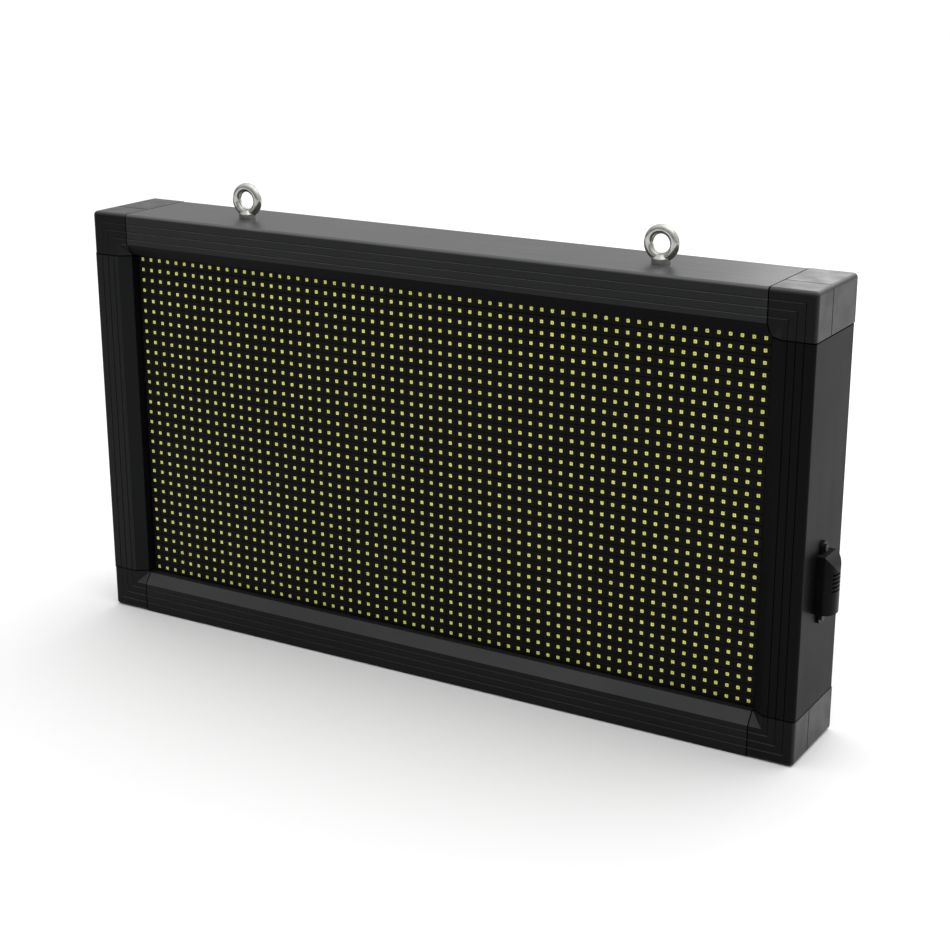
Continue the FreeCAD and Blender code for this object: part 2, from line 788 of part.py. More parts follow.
def modules():
    mask = mask_shape()
    if not mask.isValid():
        raise RuntimeError("the mask is not valid")
    sockets = []
    for name, x, z in module_places():
        obj = doc.addObject("Part::Feature", "Mask" + plain(name))
        obj.Shape = mask.copy()
        place(obj, x, ZERO, z)
        node(obj, "module_mask_" + name)
        wide = (x - module_width / 2, x + module_width / 2)
        tall = (z - module_height / 2, z + module_height / 2)
        board = box("Board" + plain(name), wide, (board_front, board_back), tall)
        node(board, "module_board_" + name)
        module_shell(name, wide, tall, x, z)
        sockets += module_sockets(name, x, z)
    node(group("ModuleSockets", sockets), "module_sockets")


def behind_module(spot, x, z):
    across = abs(number(spot[0]) - number(x)) < number(module_width) / 2
    return across and abs(number(spot[2]) - number(z)) < number(module_height) / 2


def module_shell(name, wide, tall, x, z):
    label = "Shell" + plain(name)
    wall = d["shell_wall"]
    inside = (tall[0] + wall, tall[1] - wall)
    block = box(label + "Block", wide, (board_back, chamber_back), tall)
    hollow_y = (board_back - 1, chamber_back - wall)
    hollow = box(label + "Hollow", (wide[0] + wall, wide[1] - wall), hollow_y, inside)
    half = d["port_width"] / 2
    port_y = (chamber_back - wall - 1, chamber_back + 1)
    port_z = (z - d["port_height"] / 2, z + d["port_height"] / 2)
    ports = [box("%sPort%d" % (label, index), (centre - half, centre + half), port_y, port_z)
             for index, centre in enumerate(port_middles(x))]
    mine = [s for s in module_screw_places() if behind_module(s, x, z)]
    deep = d["rail_wall"] + wall + 1
    drills = holes(label + "Drill", "y", mine, d["screw_radius"], deep, deep + 1)
    body = cut(label, block, [hollow] + ports + drills)
    rib = box(label + "Rib", (x - wall / 2, x + wall / 2), (board_back, chamber_back - wall), inside)
    node(fuse(label + "Ribbed", [body, rib]), "module_shell_" + name)


socket_back = chamber_back - d["shell_wall"] - 3


def module_sockets(name, x, z):
    """A data socket and a power socket on the board, in front of each port."""
    tall = (z - d["socket_height"] / 2, z + d["socket_height"] / 2)
    sockets = []
    for index, centre in enumerate(port_middles(x)):
        kinds = (("Data", centre - d["socket_offset"], d["socket_width"] / 2),
                 ("Power", centre + d["power_offset"], d["power_socket_width"] / 2))
        for label, across, half in kinds:
            wide = (across - half, across + half)
            sockets.append(box("%s%s%d" % (label, plain(name), index), wide, (board_back, socket_back), tall))
    return sockets


plate_screw_up = plate_height / 2 - 8


def plate_screw_places():
    """Heads on the equipment plate, over the rails."""
    heights = (middle - plate_screw_up, middle + plate_screw_up)
    return [(x, plate_back, z) for x in rail_places.values() for z in heights]


def rails():
    half = d["rail_width"] / 2
    wall = d["rail_wall"]
    for name, x in rail_places.items():
        label = "Rail" + name.title()
        block = box(label + "Block", (x - half, x + half), (chamber_back, rail_back), (rail_low, rail_high))
        inside = (chamber_back + wall, rail_back + 1)
        hollow_x = (x - half + wall, x + half - wall)
        hollow = box(label + "Hollow", hollow_x, inside, (rail_low - 1, rail_high + 1))
        spots = rail_screw_places() + module_screw_places()
        mine = [s for s in spots if abs(number(s[0]) - number(x)) < number(half)]
        drills = holes(label + "Drill", "y", mine, d["screw_radius"], wall + 1, wall + 2)
        deep = d["rail_depth"] + d["plate_thickness"]
        mine = [s for s in plate_screw_places() if abs(number(s[0]) - number(x)) < number(half)]
        drills += holes(label + "PlateDrill", "y", mine, d["screw_radius"], deep + 1, Size(4, "4"))
        node(cut(label, block, [hollow] + drills), "module_rail_" + name)
    node(small_screws("RailScrews", "y", rail_screw_places(), 1, wall + d["profile_wall"] + 1), "rail_screws")
    node(small_screws("ModuleScrews", "y", module_screw_places(), 1, wall + d["shell_wall"]), "module_screws")
    length = d["rail_depth"] + d["plate_thickness"]
    node(small_screws("PlateScrews", "y", plate_screw_places(), 1, length), "plate_screws")


# ---------------------------------------------------------------- power and control
plate_low = middle - plate_height / 2
plate_high = middle + plate_height / 2
plate_half = d["display_width"] / 2 - d["rail_inset"] + d["rail_width"] / 2
supply_right = d["supply_length"] - d["supply_left"]
supply_z = (plate_low + d["supply_margin"], plate_high - d["supply_margin"])
card_z = (plate_low + d["card_margin"], plate_high - d["card_margin"])
card_y = (plate_back + d["standoff_height"], plate_back + d["standoff_height"] + d["board_thickness"])
VENTS = 12
TERMINALS = 7
TERMINAL_MARGIN = 8
terminal_pitch = (supply_z[1] - supply_z[0] - 2 * TERMINAL_MARGIN) / TERMINALS
terminal_right = supply_right - 2
shelf_y = plate_back + d["shelf_depth"]
ribbon_x = d["display_width"] / 4 - module_width / 4 - d["socket_offset"]
card_left = ribbon_x - d["socket_width"] / 2 - d["header_inset"]
header_y = (card_y[1], card_y[1] + d["header_height"])


def equipment():
    thick = d["plate_thickness"]
    plate = box("EquipmentPlate", (-plate_half, plate_half), (rail_back, plate_back), (plate_low, plate_high))
    drills = holes("PlateDrill", "y", plate_screw_places(), d["screw_radius"], thick + 1, thick + 2)
    node(cut("PlateDrilled", plate, drills), "equipment_plate")
    supply_case()
    terminal_block()
    control_card()


def supply_case():
    """A sheet case with a vented cover and an open shelf at its right end for the terminals."""
    wall = d["supply_wall"]
    x = (-d["supply_left"], supply_right)
    y = (plate_back, rear - d["supply_clearance"])
    block = box("SupplyBlock", x, y, supply_z)
    shelf = x[1] - d["supply_shelf"]
    inside = (supply_z[0] + wall, supply_z[1] - wall)
    hollow = box("SupplyHollow", (x[0] + wall, shelf - wall), (y[0] + wall, y[1] - wall), inside)
    step = box("SupplyStep", (shelf, x[1] + 1), (shelf_y, y[1] + 1), (supply_z[0] - 1, supply_z[1] + 1))
    cover = (y[1] - wall - 1, y[1] + 1)
    tall = (supply_z[0] + d["vent_margin"], supply_z[1] - d["vent_margin"])
    slots = []
    for index in range(VENTS):
        low = x[0] + d["vent_margin"] + index * d["vent_pitch"]
        slots.append(box("SupplySlot%d" % index, (low, low + d["vent_width"]), cover, tall))
    node(cut("SupplyCase", block, [hollow, step] + slots), "power_supply")


def terminal_block():
    x = (supply_right - d["supply_shelf"] + 3, terminal_right)
    y = (shelf_y, shelf_y + d["terminal_depth"])
    block = box("TerminalBlock", x, y, (supply_z[0] + TERMINAL_MARGIN, supply_z[1] - TERMINAL_MARGIN))
    rib = d["terminal_rib"]
    cells = []
    for index in range(TERMINALS):
        low = supply_z[0] + TERMINAL_MARGIN + index * terminal_pitch + rib
        tall = (low, low + terminal_pitch - 2 * rib)
        inside = (y[0] + d["terminal_floor"], y[1] + 1)
        cells.append(box("TerminalCell%d" % index, (x[0] + 2, x[1] + 1), inside, tall))
    node(cut("Terminals", block, cells), "terminal_block")


# Parts on the control card: name, left and right from its left edge, low and high from its
# middle, and height above it.
CARD_PARTS = [
    ("Processor", 50, 66, 4, 20, 1.6),
    ("Memory", 74, 86, 6, 16, 1.2),
    ("NetworkPort", 110, 128, 10, 24, 12),
    ("PowerScrews", 104, 122, -30, -20, 9),
    ("Relay", 82, 98, -30, -16, 11),
]


def control_card():
    x = (card_left, card_left + d["card_width"])
    inset = d["pillar_inset"]
    corners = [(a, b) for a in (x[0] + inset, x[1] - inset) for b in (card_z[0] + inset, card_z[1] - inset)]
    pillars = [rod("Pillar%d" % index, "y", Size(3, "3"), (a, plate_back, b), d["standoff_height"])
               for index, (a, b) in enumerate(corners)]
    node(group("CardPillars", pillars), "card_standoffs")
    parts = [box("Card", x, card_y, card_z)]
    for name, left, right, low, high, tall in CARD_PARTS:
        wide = (x[0] + left, x[0] + right)
        parts.append(box("Card" + name, wide, (card_y[1], card_y[1] + tall), (middle + low, middle + high)))
    half = d["socket_width"] / 2
    for index, end in enumerate((card_z[0], card_z[1] - d["socket_height"])):
        wide = (ribbon_x - half, ribbon_x + half)
        parts.append(box("CardHeader%d" % index, wide, header_y, (end, end + d["socket_height"])))
    node(fuse("CardWhole", parts), "control_card")


def ribbons():
    """Flat data cables from the card's headers to a socket in each right-hand module."""
    thick, half = d["ribbon_thickness"], d["ribbon_width"] / 2
    wide = (ribbon_x - half, ribbon_x + half)
    bands = []
    for index, up in enumerate((1, -1)):
        socket_z = middle + up * d["display_height"] / 4
        edge = socket_z - up * (d["port_height"] / 2 - 5)
        end = card_z[1] - d["socket_height"] if up > 0 else card_z[0] + d["socket_height"]
        runs = (("Arm", (header_y[1], header_y[1] + thick), end, edge + up * thick),
                ("Drop", (socket_back, header_y[1] + thick), edge, edge + up * thick),
                ("Foot", (socket_back, socket_back + thick), edge, socket_z + up * d["socket_height"] / 2))
        parts = [box("Ribbon%s%d" % (label, index), wide, y, (first, last) if up > 0 else (last, first))
                 for label, y, first, last in runs]
        bands.append(fuse("Ribbon%d" % index, parts))
    node(group("Ribbons", bands), "data_ribbons")


def tube(name, points, radius):
    """A lead of straight runs joined by tangent arcs."""
    vectors = [FreeCAD.Vector(*[number(v) for v in point]) for point in points]
    edges, last = [], vectors[0]
    for before, bend, after in zip(vectors, vectors[1:], vectors[2:]):
        into = (bend - before).normalize()
        away = (after - bend).normalize()
        turn = math.acos(max(-1.0, min(1.0, into.dot(away))))
        shorter = min(before.distanceToPoint(bend), bend.distanceToPoint(after))
        setback = 0.45 * shorter
        start, end = bend - into * setback, bend + away * setback
        bisector = (away - into).normalize()
        arc_radius = setback / math.tan(turn / 2)
        centre = bend + bisector * (arc_radius / math.cos(turn / 2))
        crest = centre - bisector * arc_radius
        edges += [Part.makeLine(last, start), Part.Arc(start, crest, end).toShape()]
        last = end
    edges.append(Part.makeLine(last, vectors[-1]))
    path = Part.Wire(edges)
    section = Part.Wire(Part.makeCircle(number(radius), vectors[0], vectors[1] - vectors[0]))
    solid = path.makePipeShell([section], True, False, 2)
    expected = math.pi * number(radius) ** 2 * path.Length
    if abs(solid.Volume - expected) > 0.02 * expected:
        raise RuntimeError("%s has the wrong volume" % name)
    return solid


def fixed_shape(name, label, shape):
    """A node made of one finished shape."""
    obj = doc.addObject("Part::Feature", name)
    obj.Shape = shape
    return node(obj, label)


def power_leads():
    """Low-voltage leads from the terminals to the left-hand modules' inner power sockets."""
    in_cell = shelf_y + d["terminal_floor"] + 3
    port_x = ZERO - module_width / 4 + d["power_offset"]
    runs = []
    for up in (-1, 1):
        z = middle + up * 2 * terminal_pitch
        port_z = middle + up * d["display_height"] / 4
        points = [
            (terminal_right - 5, in_cell, z),
            (terminal_right + 14, in_cell, z),
            (terminal_right + 22, in_cell + 1, z + up * 26),
            (terminal_right - 6, in_cell - 2, middle + up * (plate_height / 2 + 14)),
            (port_x, rail_back - 2, port_z),
            (port_x, socket_back + d["lead_radius"], port_z),
        ]
        runs.append(tube("power lead", points, d["lead_radius"]))
    return Part.makeCompound(runs)


def supply_lead():
    """The supply lead from the grommet, under the equipment plate, to the last terminal."""
    in_cell = shelf_y + d["terminal_floor"] + d["mains_radius"] + 1
    entry = half_width - d["profile_wall"] - d["grommet_lip_thickness"]
    low = plate_low - 22
    points = [
        (entry, fitting_y, d["cowl_height"]),
        (entry - 30, fitting_y + 2, d["cowl_height"]),
        (plate_half - 20, in_cell + 6, low),
        (plate_half / 4, in_cell + 7, low - 6),
        (terminal_right + 26, in_cell + 9, supply_z[0] + TERMINAL_MARGIN),
        (terminal_right + 1, in_cell, middle - 3 * terminal_pitch),
    ]
    return tube("supply lead", points, d["mains_radius"])


def leads():
    fixed_shape("DcLeads", "dc_leads", power_leads())
    fixed_shape("MainsLead", "mains_lead", supply_lead())


# ---------------------------------------------------------------- rear panel, service door, lock
door_x = (-d["door_width"] / 2, d["door_width"] / 2)
door_z = (middle - d["door_height"] / 2, middle + d["door_height"] / 2)
hinge_x = door_x[0]
hinge_y = rear_plane + d["knuckle_radius"] + 0.15
hinge_heights = (middle - d["hinge_spread"] / 2, middle + d["hinge_spread"] / 2)
lock_x = door_x[1] - d["door_gap"] - d["lock_inset"]


def hinge_screw_places(side):
    """Heads on the leaves: side -1 is the panel's leaf, side 1 the door's."""
    x = hinge_x + side * (d["hinge_leaf"] - 6)
    face = rear_plane + d["hinge_leaf_thickness"]
    rise = d["hinge_length"] * 0.32
    return [(x, face, z + up) for z in hinge_heights for up in (-rise, rise)]


def rear_panel():
    inset = d["panel_inset"]
    wide = (inset - half_width, half_width - inset)
    sheet_box = box("PanelSheet", wide, (rear, rear_plane), (inset, height - inset))
    opening = box("PanelOpening", door_x, (rear - 1, rear_plane + 1), door_z)
    thick = d["panel_thickness"]
    drills = holes("PanelDrill", "y", panel_screw_places(), d["screw_radius"], thick + 1, thick + 2)
    leaf = d["hinge_leaf_thickness"] + thick + 1
    drills += holes("PanelHingeDrill", "y", hinge_screw_places(-1), d["screw_radius"], leaf, leaf + 1)
    node(cut("RearPanel", sheet_box, [opening] + drills), "rear_panel")
    into = thick + d["profile_wall"] + 3
    node(small_screws("PanelScrews", "y", panel_screw_places(), 1, into), "panel_screws")
    lap = d["seal_lap"]
    seal_y = (rear - d["seal_thickness"], rear)
    outer = box("SealOuter", (door_x[0] - lap, door_x[1] + lap), seal_y, (door_z[0] - lap, door_z[1] + lap))
    through = (seal_y[0] - 1, seal_y[1] + 1)
    inner = box("SealInner", (door_x[0] + lap, door_x[1] - lap), through, (door_z[0] + lap, door_z[1] - lap))
    node(cut("DoorSeal", outer, [inner]), "door_seal")


def service_door():
    gap = d["door_gap"]
    wide, tall = (door_x[0] + gap, door_x[1] - gap), (door_z[0] + gap, door_z[1] - gap)
    leaf = box("DoorLeaf", wide, (rear, rear_plane), tall)
    hole = rod("LockHole", "y", d["lock_radius"], (lock_x, rear - 1, middle), d["panel_thickness"] + 2)
    deep = d["hinge_leaf_thickness"] + d["panel_thickness"] + 1
    drills = holes("DoorHingeDrill", "y", hinge_screw_places(1), d["screw_radius"], deep, deep + 1)
    node(cut("ServiceDoor", leaf, [hole] + drills), "service_door")


def hinge_half(name, z, fixed):
    """A leaf with its knuckles: the fixed leaf has the middle one, the door's leaf the outer two."""
    sign = -1 if fixed else 1
    third = d["hinge_length"] / 3
    play = 0.2
    rest = rear_plane
    notch = d["knuckle_radius"] + 0.5
    near, far = hinge_x + sign * notch, hinge_x + sign * d["hinge_leaf"]
    span = (far, near) if fixed else (near, far)
    bridge = (near, hinge_x) if fixed else (hinge_x, near)
    thick = (rest, rest + d["hinge_leaf_thickness"])
    low = z - d["hinge_length"] / 2
    parts = [box(name + "Leaf", span, thick, (low, low + d["hinge_length"]))]
    segments = [(low + third + play, third - 2 * play)] if fixed else [(low, third), (low + 2 * third, third)]
    bore = d["hinge_pin_radius"] + d["running_clearance"] if fixed else d["hinge_pin_radius"]
    drills = []
    raised = (rest + 0.15, rest + d["hinge_leaf_thickness"])
    for index, (start, length) in enumerate(segments):
        foot = (hinge_x, hinge_y, start)
        parts.append(rod("%sKnuckle%d" % (name, index), "z", d["knuckle_radius"], foot, length))
        parts.append(box("%sBridge%d" % (name, index), bridge, raised, (start, start + length)))
        drills.append(rod("%sBore%d" % (name, index), "z", bore, (hinge_x, hinge_y, start - 1), length + 2))
    reach = number(d["hinge_length"]) / 2
    mine = [s for s in hinge_screw_places(sign) if abs(number(s[2]) - number(z)) < reach]
    through = d["hinge_leaf_thickness"] + 2
    drills += holes(name + "ScrewHole", "y", mine, d["screw_radius"], through - 1, through)
    return cut(name, fuse(name + "Solid", parts), drills)


def hinges():
    fixed = [hinge_half("HingeFixed%d" % i, z, True) for i, z in enumerate(hinge_heights)]
    moving = [hinge_half("HingeDoor%d" % i, z, False) for i, z in enumerate(hinge_heights)]
    length = d["hinge_length"]
    pins = [rod("HingePin%d" % i, "z", d["hinge_pin_radius"], (hinge_x, hinge_y, z - length / 2), length)
            for i, z in enumerate(hinge_heights)]
    node(group("HingesFixed", fixed), "hinge_leaves_panel")
    node(group("HingesDoor", moving), "hinge_leaves_door")
    node(group("HingePins", pins), "hinge_pins")
    into = d["hinge_leaf_thickness"] + d["panel_thickness"] + 1
    node(small_screws("HingePanelScrews", "y", hinge_screw_places(-1), 1, into), "hinge_screws_panel")
    node(small_screws("HingeDoorScrews", "y", hinge_screw_places(1), 1, into), "hinge_screws_door")


def lock():
    inner = rear - d["lock_depth"]
    rim_face = rear_plane + d["lock_rim"]
    barrel = rod("LockBarrelBody", "y", d["lock_radius"], (lock_x, inner, middle), rear_plane - inner)
    rim = rod("LockRim", "y", d["lock_radius"] + d["lock_rim"], (lock_x, rear_plane, middle), d["lock_rim"])
    bore_radius = d["plug_radius"] + d["running_clearance"]
    bore = rod("LockBore", "y", bore_radius, (lock_x, inner - 1, middle), rim_face - inner + 2)
    node(cut("LockBarrel", fuse("LockBarrelSolid", [barrel, rim]), [bore]), "lock_barrel")
    cam_back = inner - 0.1
    cam_y = (cam_back - d["cam_thickness"], cam_back)
    plug = rod("LockPlug", "y", d["plug_radius"], (lock_x, cam_y[0], middle), rim_face - cam_y[0])
    half = d["cam_width"] / 2
    arm = box("LockArm", (lock_x - half, lock_x + half), cam_y, (middle - d["cam_length"], middle + half))
    wide, tall = d["keyway_width"] / 2, d["keyway_height"] / 2
    keyway_y = (rim_face - d["keyway_depth"], rim_face + 1)
    keyway = box("LockKeyway", (lock_x - wide, lock_x + wide), keyway_y, (middle - tall, middle + tall))
    node(cut("LockCam", fuse("LockCamSolid", [plug, arm]), [keyway]), "lock_cam")
    lock_nut()


def lock_nut():
    """The hexagonal nut that holds the barrel to the door from inside."""
    low = rear - d["lock_nut_height"]
    prism = doc.addObject("Part::Prism", "LockNutBlank")
    prism.Polygon = 6
    bind(prism, "Circumradius", (d["lock_radius"] + d["lock_nut_wall"]) / math.cos(math.pi / 6))
    bind(prism, "Height", d["lock_nut_height"])
    prism.Placement.Rotation = AXES["y"]
    place(prism, lock_x, low, middle)
    radius = d["lock_radius"] + d["running_clearance"]
    bore = rod("LockNutBore", "y", radius, (lock_x, low - 1, middle), d["lock_nut_height"] + 2)
    node(cut("LockNut", prism, [bore]), "lock_nut")


# ---------------------------------------------------------------- eye bolts
COLLAR_GAP = 0.1


def eye_bolt(label, x):
    """Ring, collar, cone neck and shank in one forging."""
    foot = height + COLLAR_GAP
    wire = d["ring_wire"]
    ring = doc.addObject("Part::Torus", label + "Ring")
    bind(ring, "Radius1", d["ring_radius"])
    bind(ring, "Radius2", wire)
    ring.Placement.Rotation = AXES["y"]
    place(ring, x, fitting_y, height + d["ring_height"])
    collar = rod(label + "Collar", "z", d["collar_radius"], (x, fitting_y, foot), d["collar_height"])
    neck = doc.addObject("Part::Cone", label + "Neck")
    bind(neck, "Radius1", d["collar_radius"] - 1)
    bind(neck, "Radius2", wire + 0.8)
    bind(neck, "Height", wire * 0.8)
    place(neck, x, fitting_y, foot + d["collar_height"])
    tip = (x, fitting_y, height - d["bolt_length"])
    shank = rod(label + "Shank", "z", d["bolt_radius"], tip, d["bolt_length"] + 1)
    centre = (x, fitting_y - 2 * wire, height + d["ring_height"])
    hollow = rod(label + "Clear", "y", d["ring_radius"] - wire, centre, 4 * wire)
    stem = cut(label + "Stem", fuse(label + "StemSolid", [collar, neck, shank]), [hollow])
    return fuse(label, [ring, stem])


def pierced(name, blank, x, low, thick):
    """A plate or washer with the bolt's hole through it."""
    drill = rod(name + "Hole", "z", bolt_hole, (x, fitting_y, low - 1), thick + 2)
    return cut(name, blank, [drill])


def eye_bolts():
    washers, spreaders = [], []
    reach = 2 * d["washer_radius"]
    plate_thick, washer_thick = d["spreader_thickness"], d["washer_thickness"]
    plate_foot = height - d["profile_wall"] - plate_thick
    washer_foot = plate_foot - washer_thick
    for side, x in bolt_places.items():
        label = "Eye" + side.title()
        node(eye_bolt(label, x), "eye_bolt_" + side)
        deep = (fitting_y - 0.75 * reach, fitting_y + 0.75 * reach)
        tall = (plate_foot, plate_foot + plate_thick)
        plate = box(label + "PlateBlank", (x - reach, x + reach), deep, tall)
        spreaders.append(pierced(label + "Plate", plate, x, plate_foot, plate_thick))
        centre = (x, fitting_y, washer_foot)
        washer = rod(label + "WasherBlank", "z", d["washer_radius"], centre, washer_thick)
        washers.append(pierced(label + "Washer", washer, x, washer_foot, washer_thick))
        node(hex_nut(label + "Nut", x, washer_foot - COLLAR_GAP - d["nut_height"]), "eye_nut_" + side)
    node(group("EyeWashers", washers), "eye_washers")
    node(group("EyeSpreaders", spreaders), "eye_spreaders")


def hex_nut(name, x, low):
    prism = doc.addObject("Part::Prism", name + "Blank")
    prism.Polygon = 6
    bind(prism, "Circumradius", d["nut_flats"] / 2 / math.cos(math.pi / 6))
    bind(prism, "Height", d["nut_height"])
    place(prism, x, fitting_y, low)
    drill = rod(name + "Bore", "z", d["bolt_radius"], (x, fitting_y, low - 1), d["nut_height"] + 2)
    return cut(name, prism, [drill])


# ---------------------------------------------------------------- cable cowl on the right side
def cable_cowl():
    cowl = fixed_shape("CableCowl", "cable_cowl", cowl_shape())
    place(cowl, half_width, fitting_y, d["cowl_height"])
    heads = [(half_width + d["ear_thickness"], fitting_y, z) for z in cowl_ears]
    length = d["ear_thickness"] + d["profile_wall"] + 3
    node(small_screws("CowlScrews", "x", heads, 1, length), "cowl_screws")
    grommet()


def grommet():
    """Two lips, one each side of the profile's wall, joined by a neck with the cable's bore."""
    lip = d["grommet_lip_thickness"]
    inside = half_width - d["profile_wall"] - lip
    through = d["profile_wall"] + 2 * lip
    outer = rod("GrommetOuter", "x", d["grommet_lip"], (half_width, fitting_y, d["cowl_height"]), lip)
    inner = rod("GrommetInner", "x", d["grommet_lip"], (inside, fitting_y, d["cowl_height"]), lip)
    neck = rod("GrommetNeck", "x", d["grommet_neck"], (inside, fitting_y, d["cowl_height"]), through)
    bore = rod("GrommetBore", "x", d["grommet_bore"], (inside - 1, fitting_y, d["cowl_height"]), through + 2)
    node(cut("CableGrommet", fuse("GrommetSolid", [outer, inner, neck]), [bore]), "cable_grommet")


def roof_limit(base, bulge, half, low, high):
    """Everything under a slightly bowed roof that falls outwards from the straight part."""
    drop, rise = number(d["roof_drop"]), number(d["roof_rise"])
    chord = math.hypot(bulge, drop)
    radius = chord ** 2 / (8 * rise) + rise / 2
    back = (radius - rise) / chord
    centre = FreeCAD.Vector(base + bulge / 2 - drop * back, -half - 1, high - drop / 2 - bulge * back)
    under = Part.makeCylinder(radius, 2 * half + 2, centre, FreeCAD.Vector(0, 1, 0))
    below = Part.makeBox(bulge + 1, 2 * half + 2, high - drop - low, FreeCAD.Vector(base, -half - 1, low))
    return under.fuse(below)


def cowl_solid(shrink, low, high):
    """A straight base and a half-round nose under the sloping roof, at its own origin."""
    half = number(d["cowl_width"]) / 2 - shrink
    bulge = number(d["cowl_bulge"]) - shrink
    base = number(d["cowl_base_depth"])
    plan = Part.makeCylinder(half, high - low, FreeCAD.Vector(0, 0, low))
    squash = FreeCAD.Matrix()
    squash.scale(FreeCAD.Vector(bulge / half, 1, 1))
    plan = plan.transformGeometry(squash)
    plan.translate(FreeCAD.Vector(base, 0, 0))
    outward = Part.makeBox(bulge + 1, 2 * half + 2, high - low, FreeCAD.Vector(base, -half - 1, low))
    nose = plan.common(outward).common(roof_limit(base, bulge, half, low, high))
    straight = Part.makeBox(base, 2 * half, high - low, FreeCAD.Vector(0, -half, low))
    return straight.fuse(nose)


COWL_SLOTS = 5


def cowl_ear_shapes(top, bottom, offset):
    """Two round-ended ears that carry the cowl's screws."""
    thick, half = number(d["ear_thickness"]), number(d["ear_width"]) / 2
    outward = FreeCAD.Vector(1, 0, 0)
    ears = []
    for centre, near in ((-offset, bottom + 0.5), (offset, top - 0.5)):
        low, high = sorted((centre, near))
        ears.append(Part.makeBox(thick, 2 * half, high - low, FreeCAD.Vector(0, -half, low)))
        ears.append(Part.makeCylinder(half, thick, FreeCAD.Vector(0, 0, centre), outward))
    return ears


def cowl_cutters(offset):
    """Louvre slots through the nose and screw holes through the ears."""
    bulge, pitch, tall = number(d["cowl_bulge"]), number(d["slot_pitch"]), number(d["slot_height"])
    outermost = number(d["cowl_base_depth"]) + bulge
    width = number(d["cowl_width"]) * 0.7
    cutters = []
    for index in range(COWL_SLOTS):
        z = number(d["slot_middle"]) + (COWL_SLOTS // 2 - index) * pitch
        start = FreeCAD.Vector(outermost - 0.7 * bulge, -width / 2, z - tall / 2)
        cutters.append(Part.makeBox(outermost, width, tall, start))
    for centre in (-offset, offset):
        start = FreeCAD.Vector(-1, 0, centre)
        length = number(d["ear_thickness"]) + 2
        cutters.append(Part.makeCylinder(number(d["screw_radius"]), length, start, FreeCAD.Vector(1, 0, 0)))
    return cutters


def cowl_shape():
    wall = number(d["cowl_wall"])
    top, bottom = number(d["cowl_top"]), -number(d["cowl_bottom"])
    offset = number(ear_offset)
    outer = cowl_solid(0.0, bottom, top)
    inner = cowl_solid(wall, bottom - 2, top - wall)
    inner.translate(FreeCAD.Vector(-0.01, 0, 0))
    shell = outer.fuse(cowl_ear_shapes(top, bottom, offset)).cut(inner)
    return shell.cut(cowl_cutters(offset))


frame_profiles()
frame_corners()
modules()
rails()
equipment()
ribbons()
leads()
rear_panel()
service_door()
hinges()
lock()
eye_bolts()
cable_cowl()
doc.recompute()

problems = [obj.Name for obj in doc.Objects if "Invalid" in obj.State or "Error" in obj.State]
if problems:
    raise RuntimeError("these objects failed: " + ", ".join(problems))
for name, obj in NODES.items():
    checked = name.startswith("module_mask_") or obj.Shape.isValid()
    if obj.Shape.isNull() or not checked or not obj.Shape.Solids:
        raise RuntimeError("%s has no valid solid" % name)
for name, obj in NODES.items():
    obj.Shape.exportStep("parts/%s.step" % name)
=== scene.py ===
import math
import random

import bmesh
import bpy
from mathutils import Matrix, Vector

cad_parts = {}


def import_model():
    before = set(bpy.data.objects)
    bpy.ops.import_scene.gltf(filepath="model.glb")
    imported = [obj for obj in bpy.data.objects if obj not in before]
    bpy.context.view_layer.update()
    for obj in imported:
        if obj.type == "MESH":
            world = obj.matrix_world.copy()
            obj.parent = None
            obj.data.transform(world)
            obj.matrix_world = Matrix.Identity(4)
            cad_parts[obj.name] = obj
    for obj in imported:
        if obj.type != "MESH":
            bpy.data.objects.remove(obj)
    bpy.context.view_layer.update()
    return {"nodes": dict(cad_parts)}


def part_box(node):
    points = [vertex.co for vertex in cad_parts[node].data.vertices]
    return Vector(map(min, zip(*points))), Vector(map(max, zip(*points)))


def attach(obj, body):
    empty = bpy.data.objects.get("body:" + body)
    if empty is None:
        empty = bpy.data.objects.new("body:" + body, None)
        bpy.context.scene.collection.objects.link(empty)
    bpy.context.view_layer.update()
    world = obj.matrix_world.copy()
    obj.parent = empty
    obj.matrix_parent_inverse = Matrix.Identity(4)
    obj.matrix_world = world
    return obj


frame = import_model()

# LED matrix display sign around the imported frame. Metres, in the CAD's own frame:
# +X to the display's right, -Y the way the display faces, +Z up, floor at Z = 0.

MM = 0.001
SIGN = "sign"


# ---------------------------------------------------------------- material nodes
FACING_LIGHT_GAIN = 8.0  # ramps stop at 1, so the gain of the painted light and shade by facing is kept as a share of this
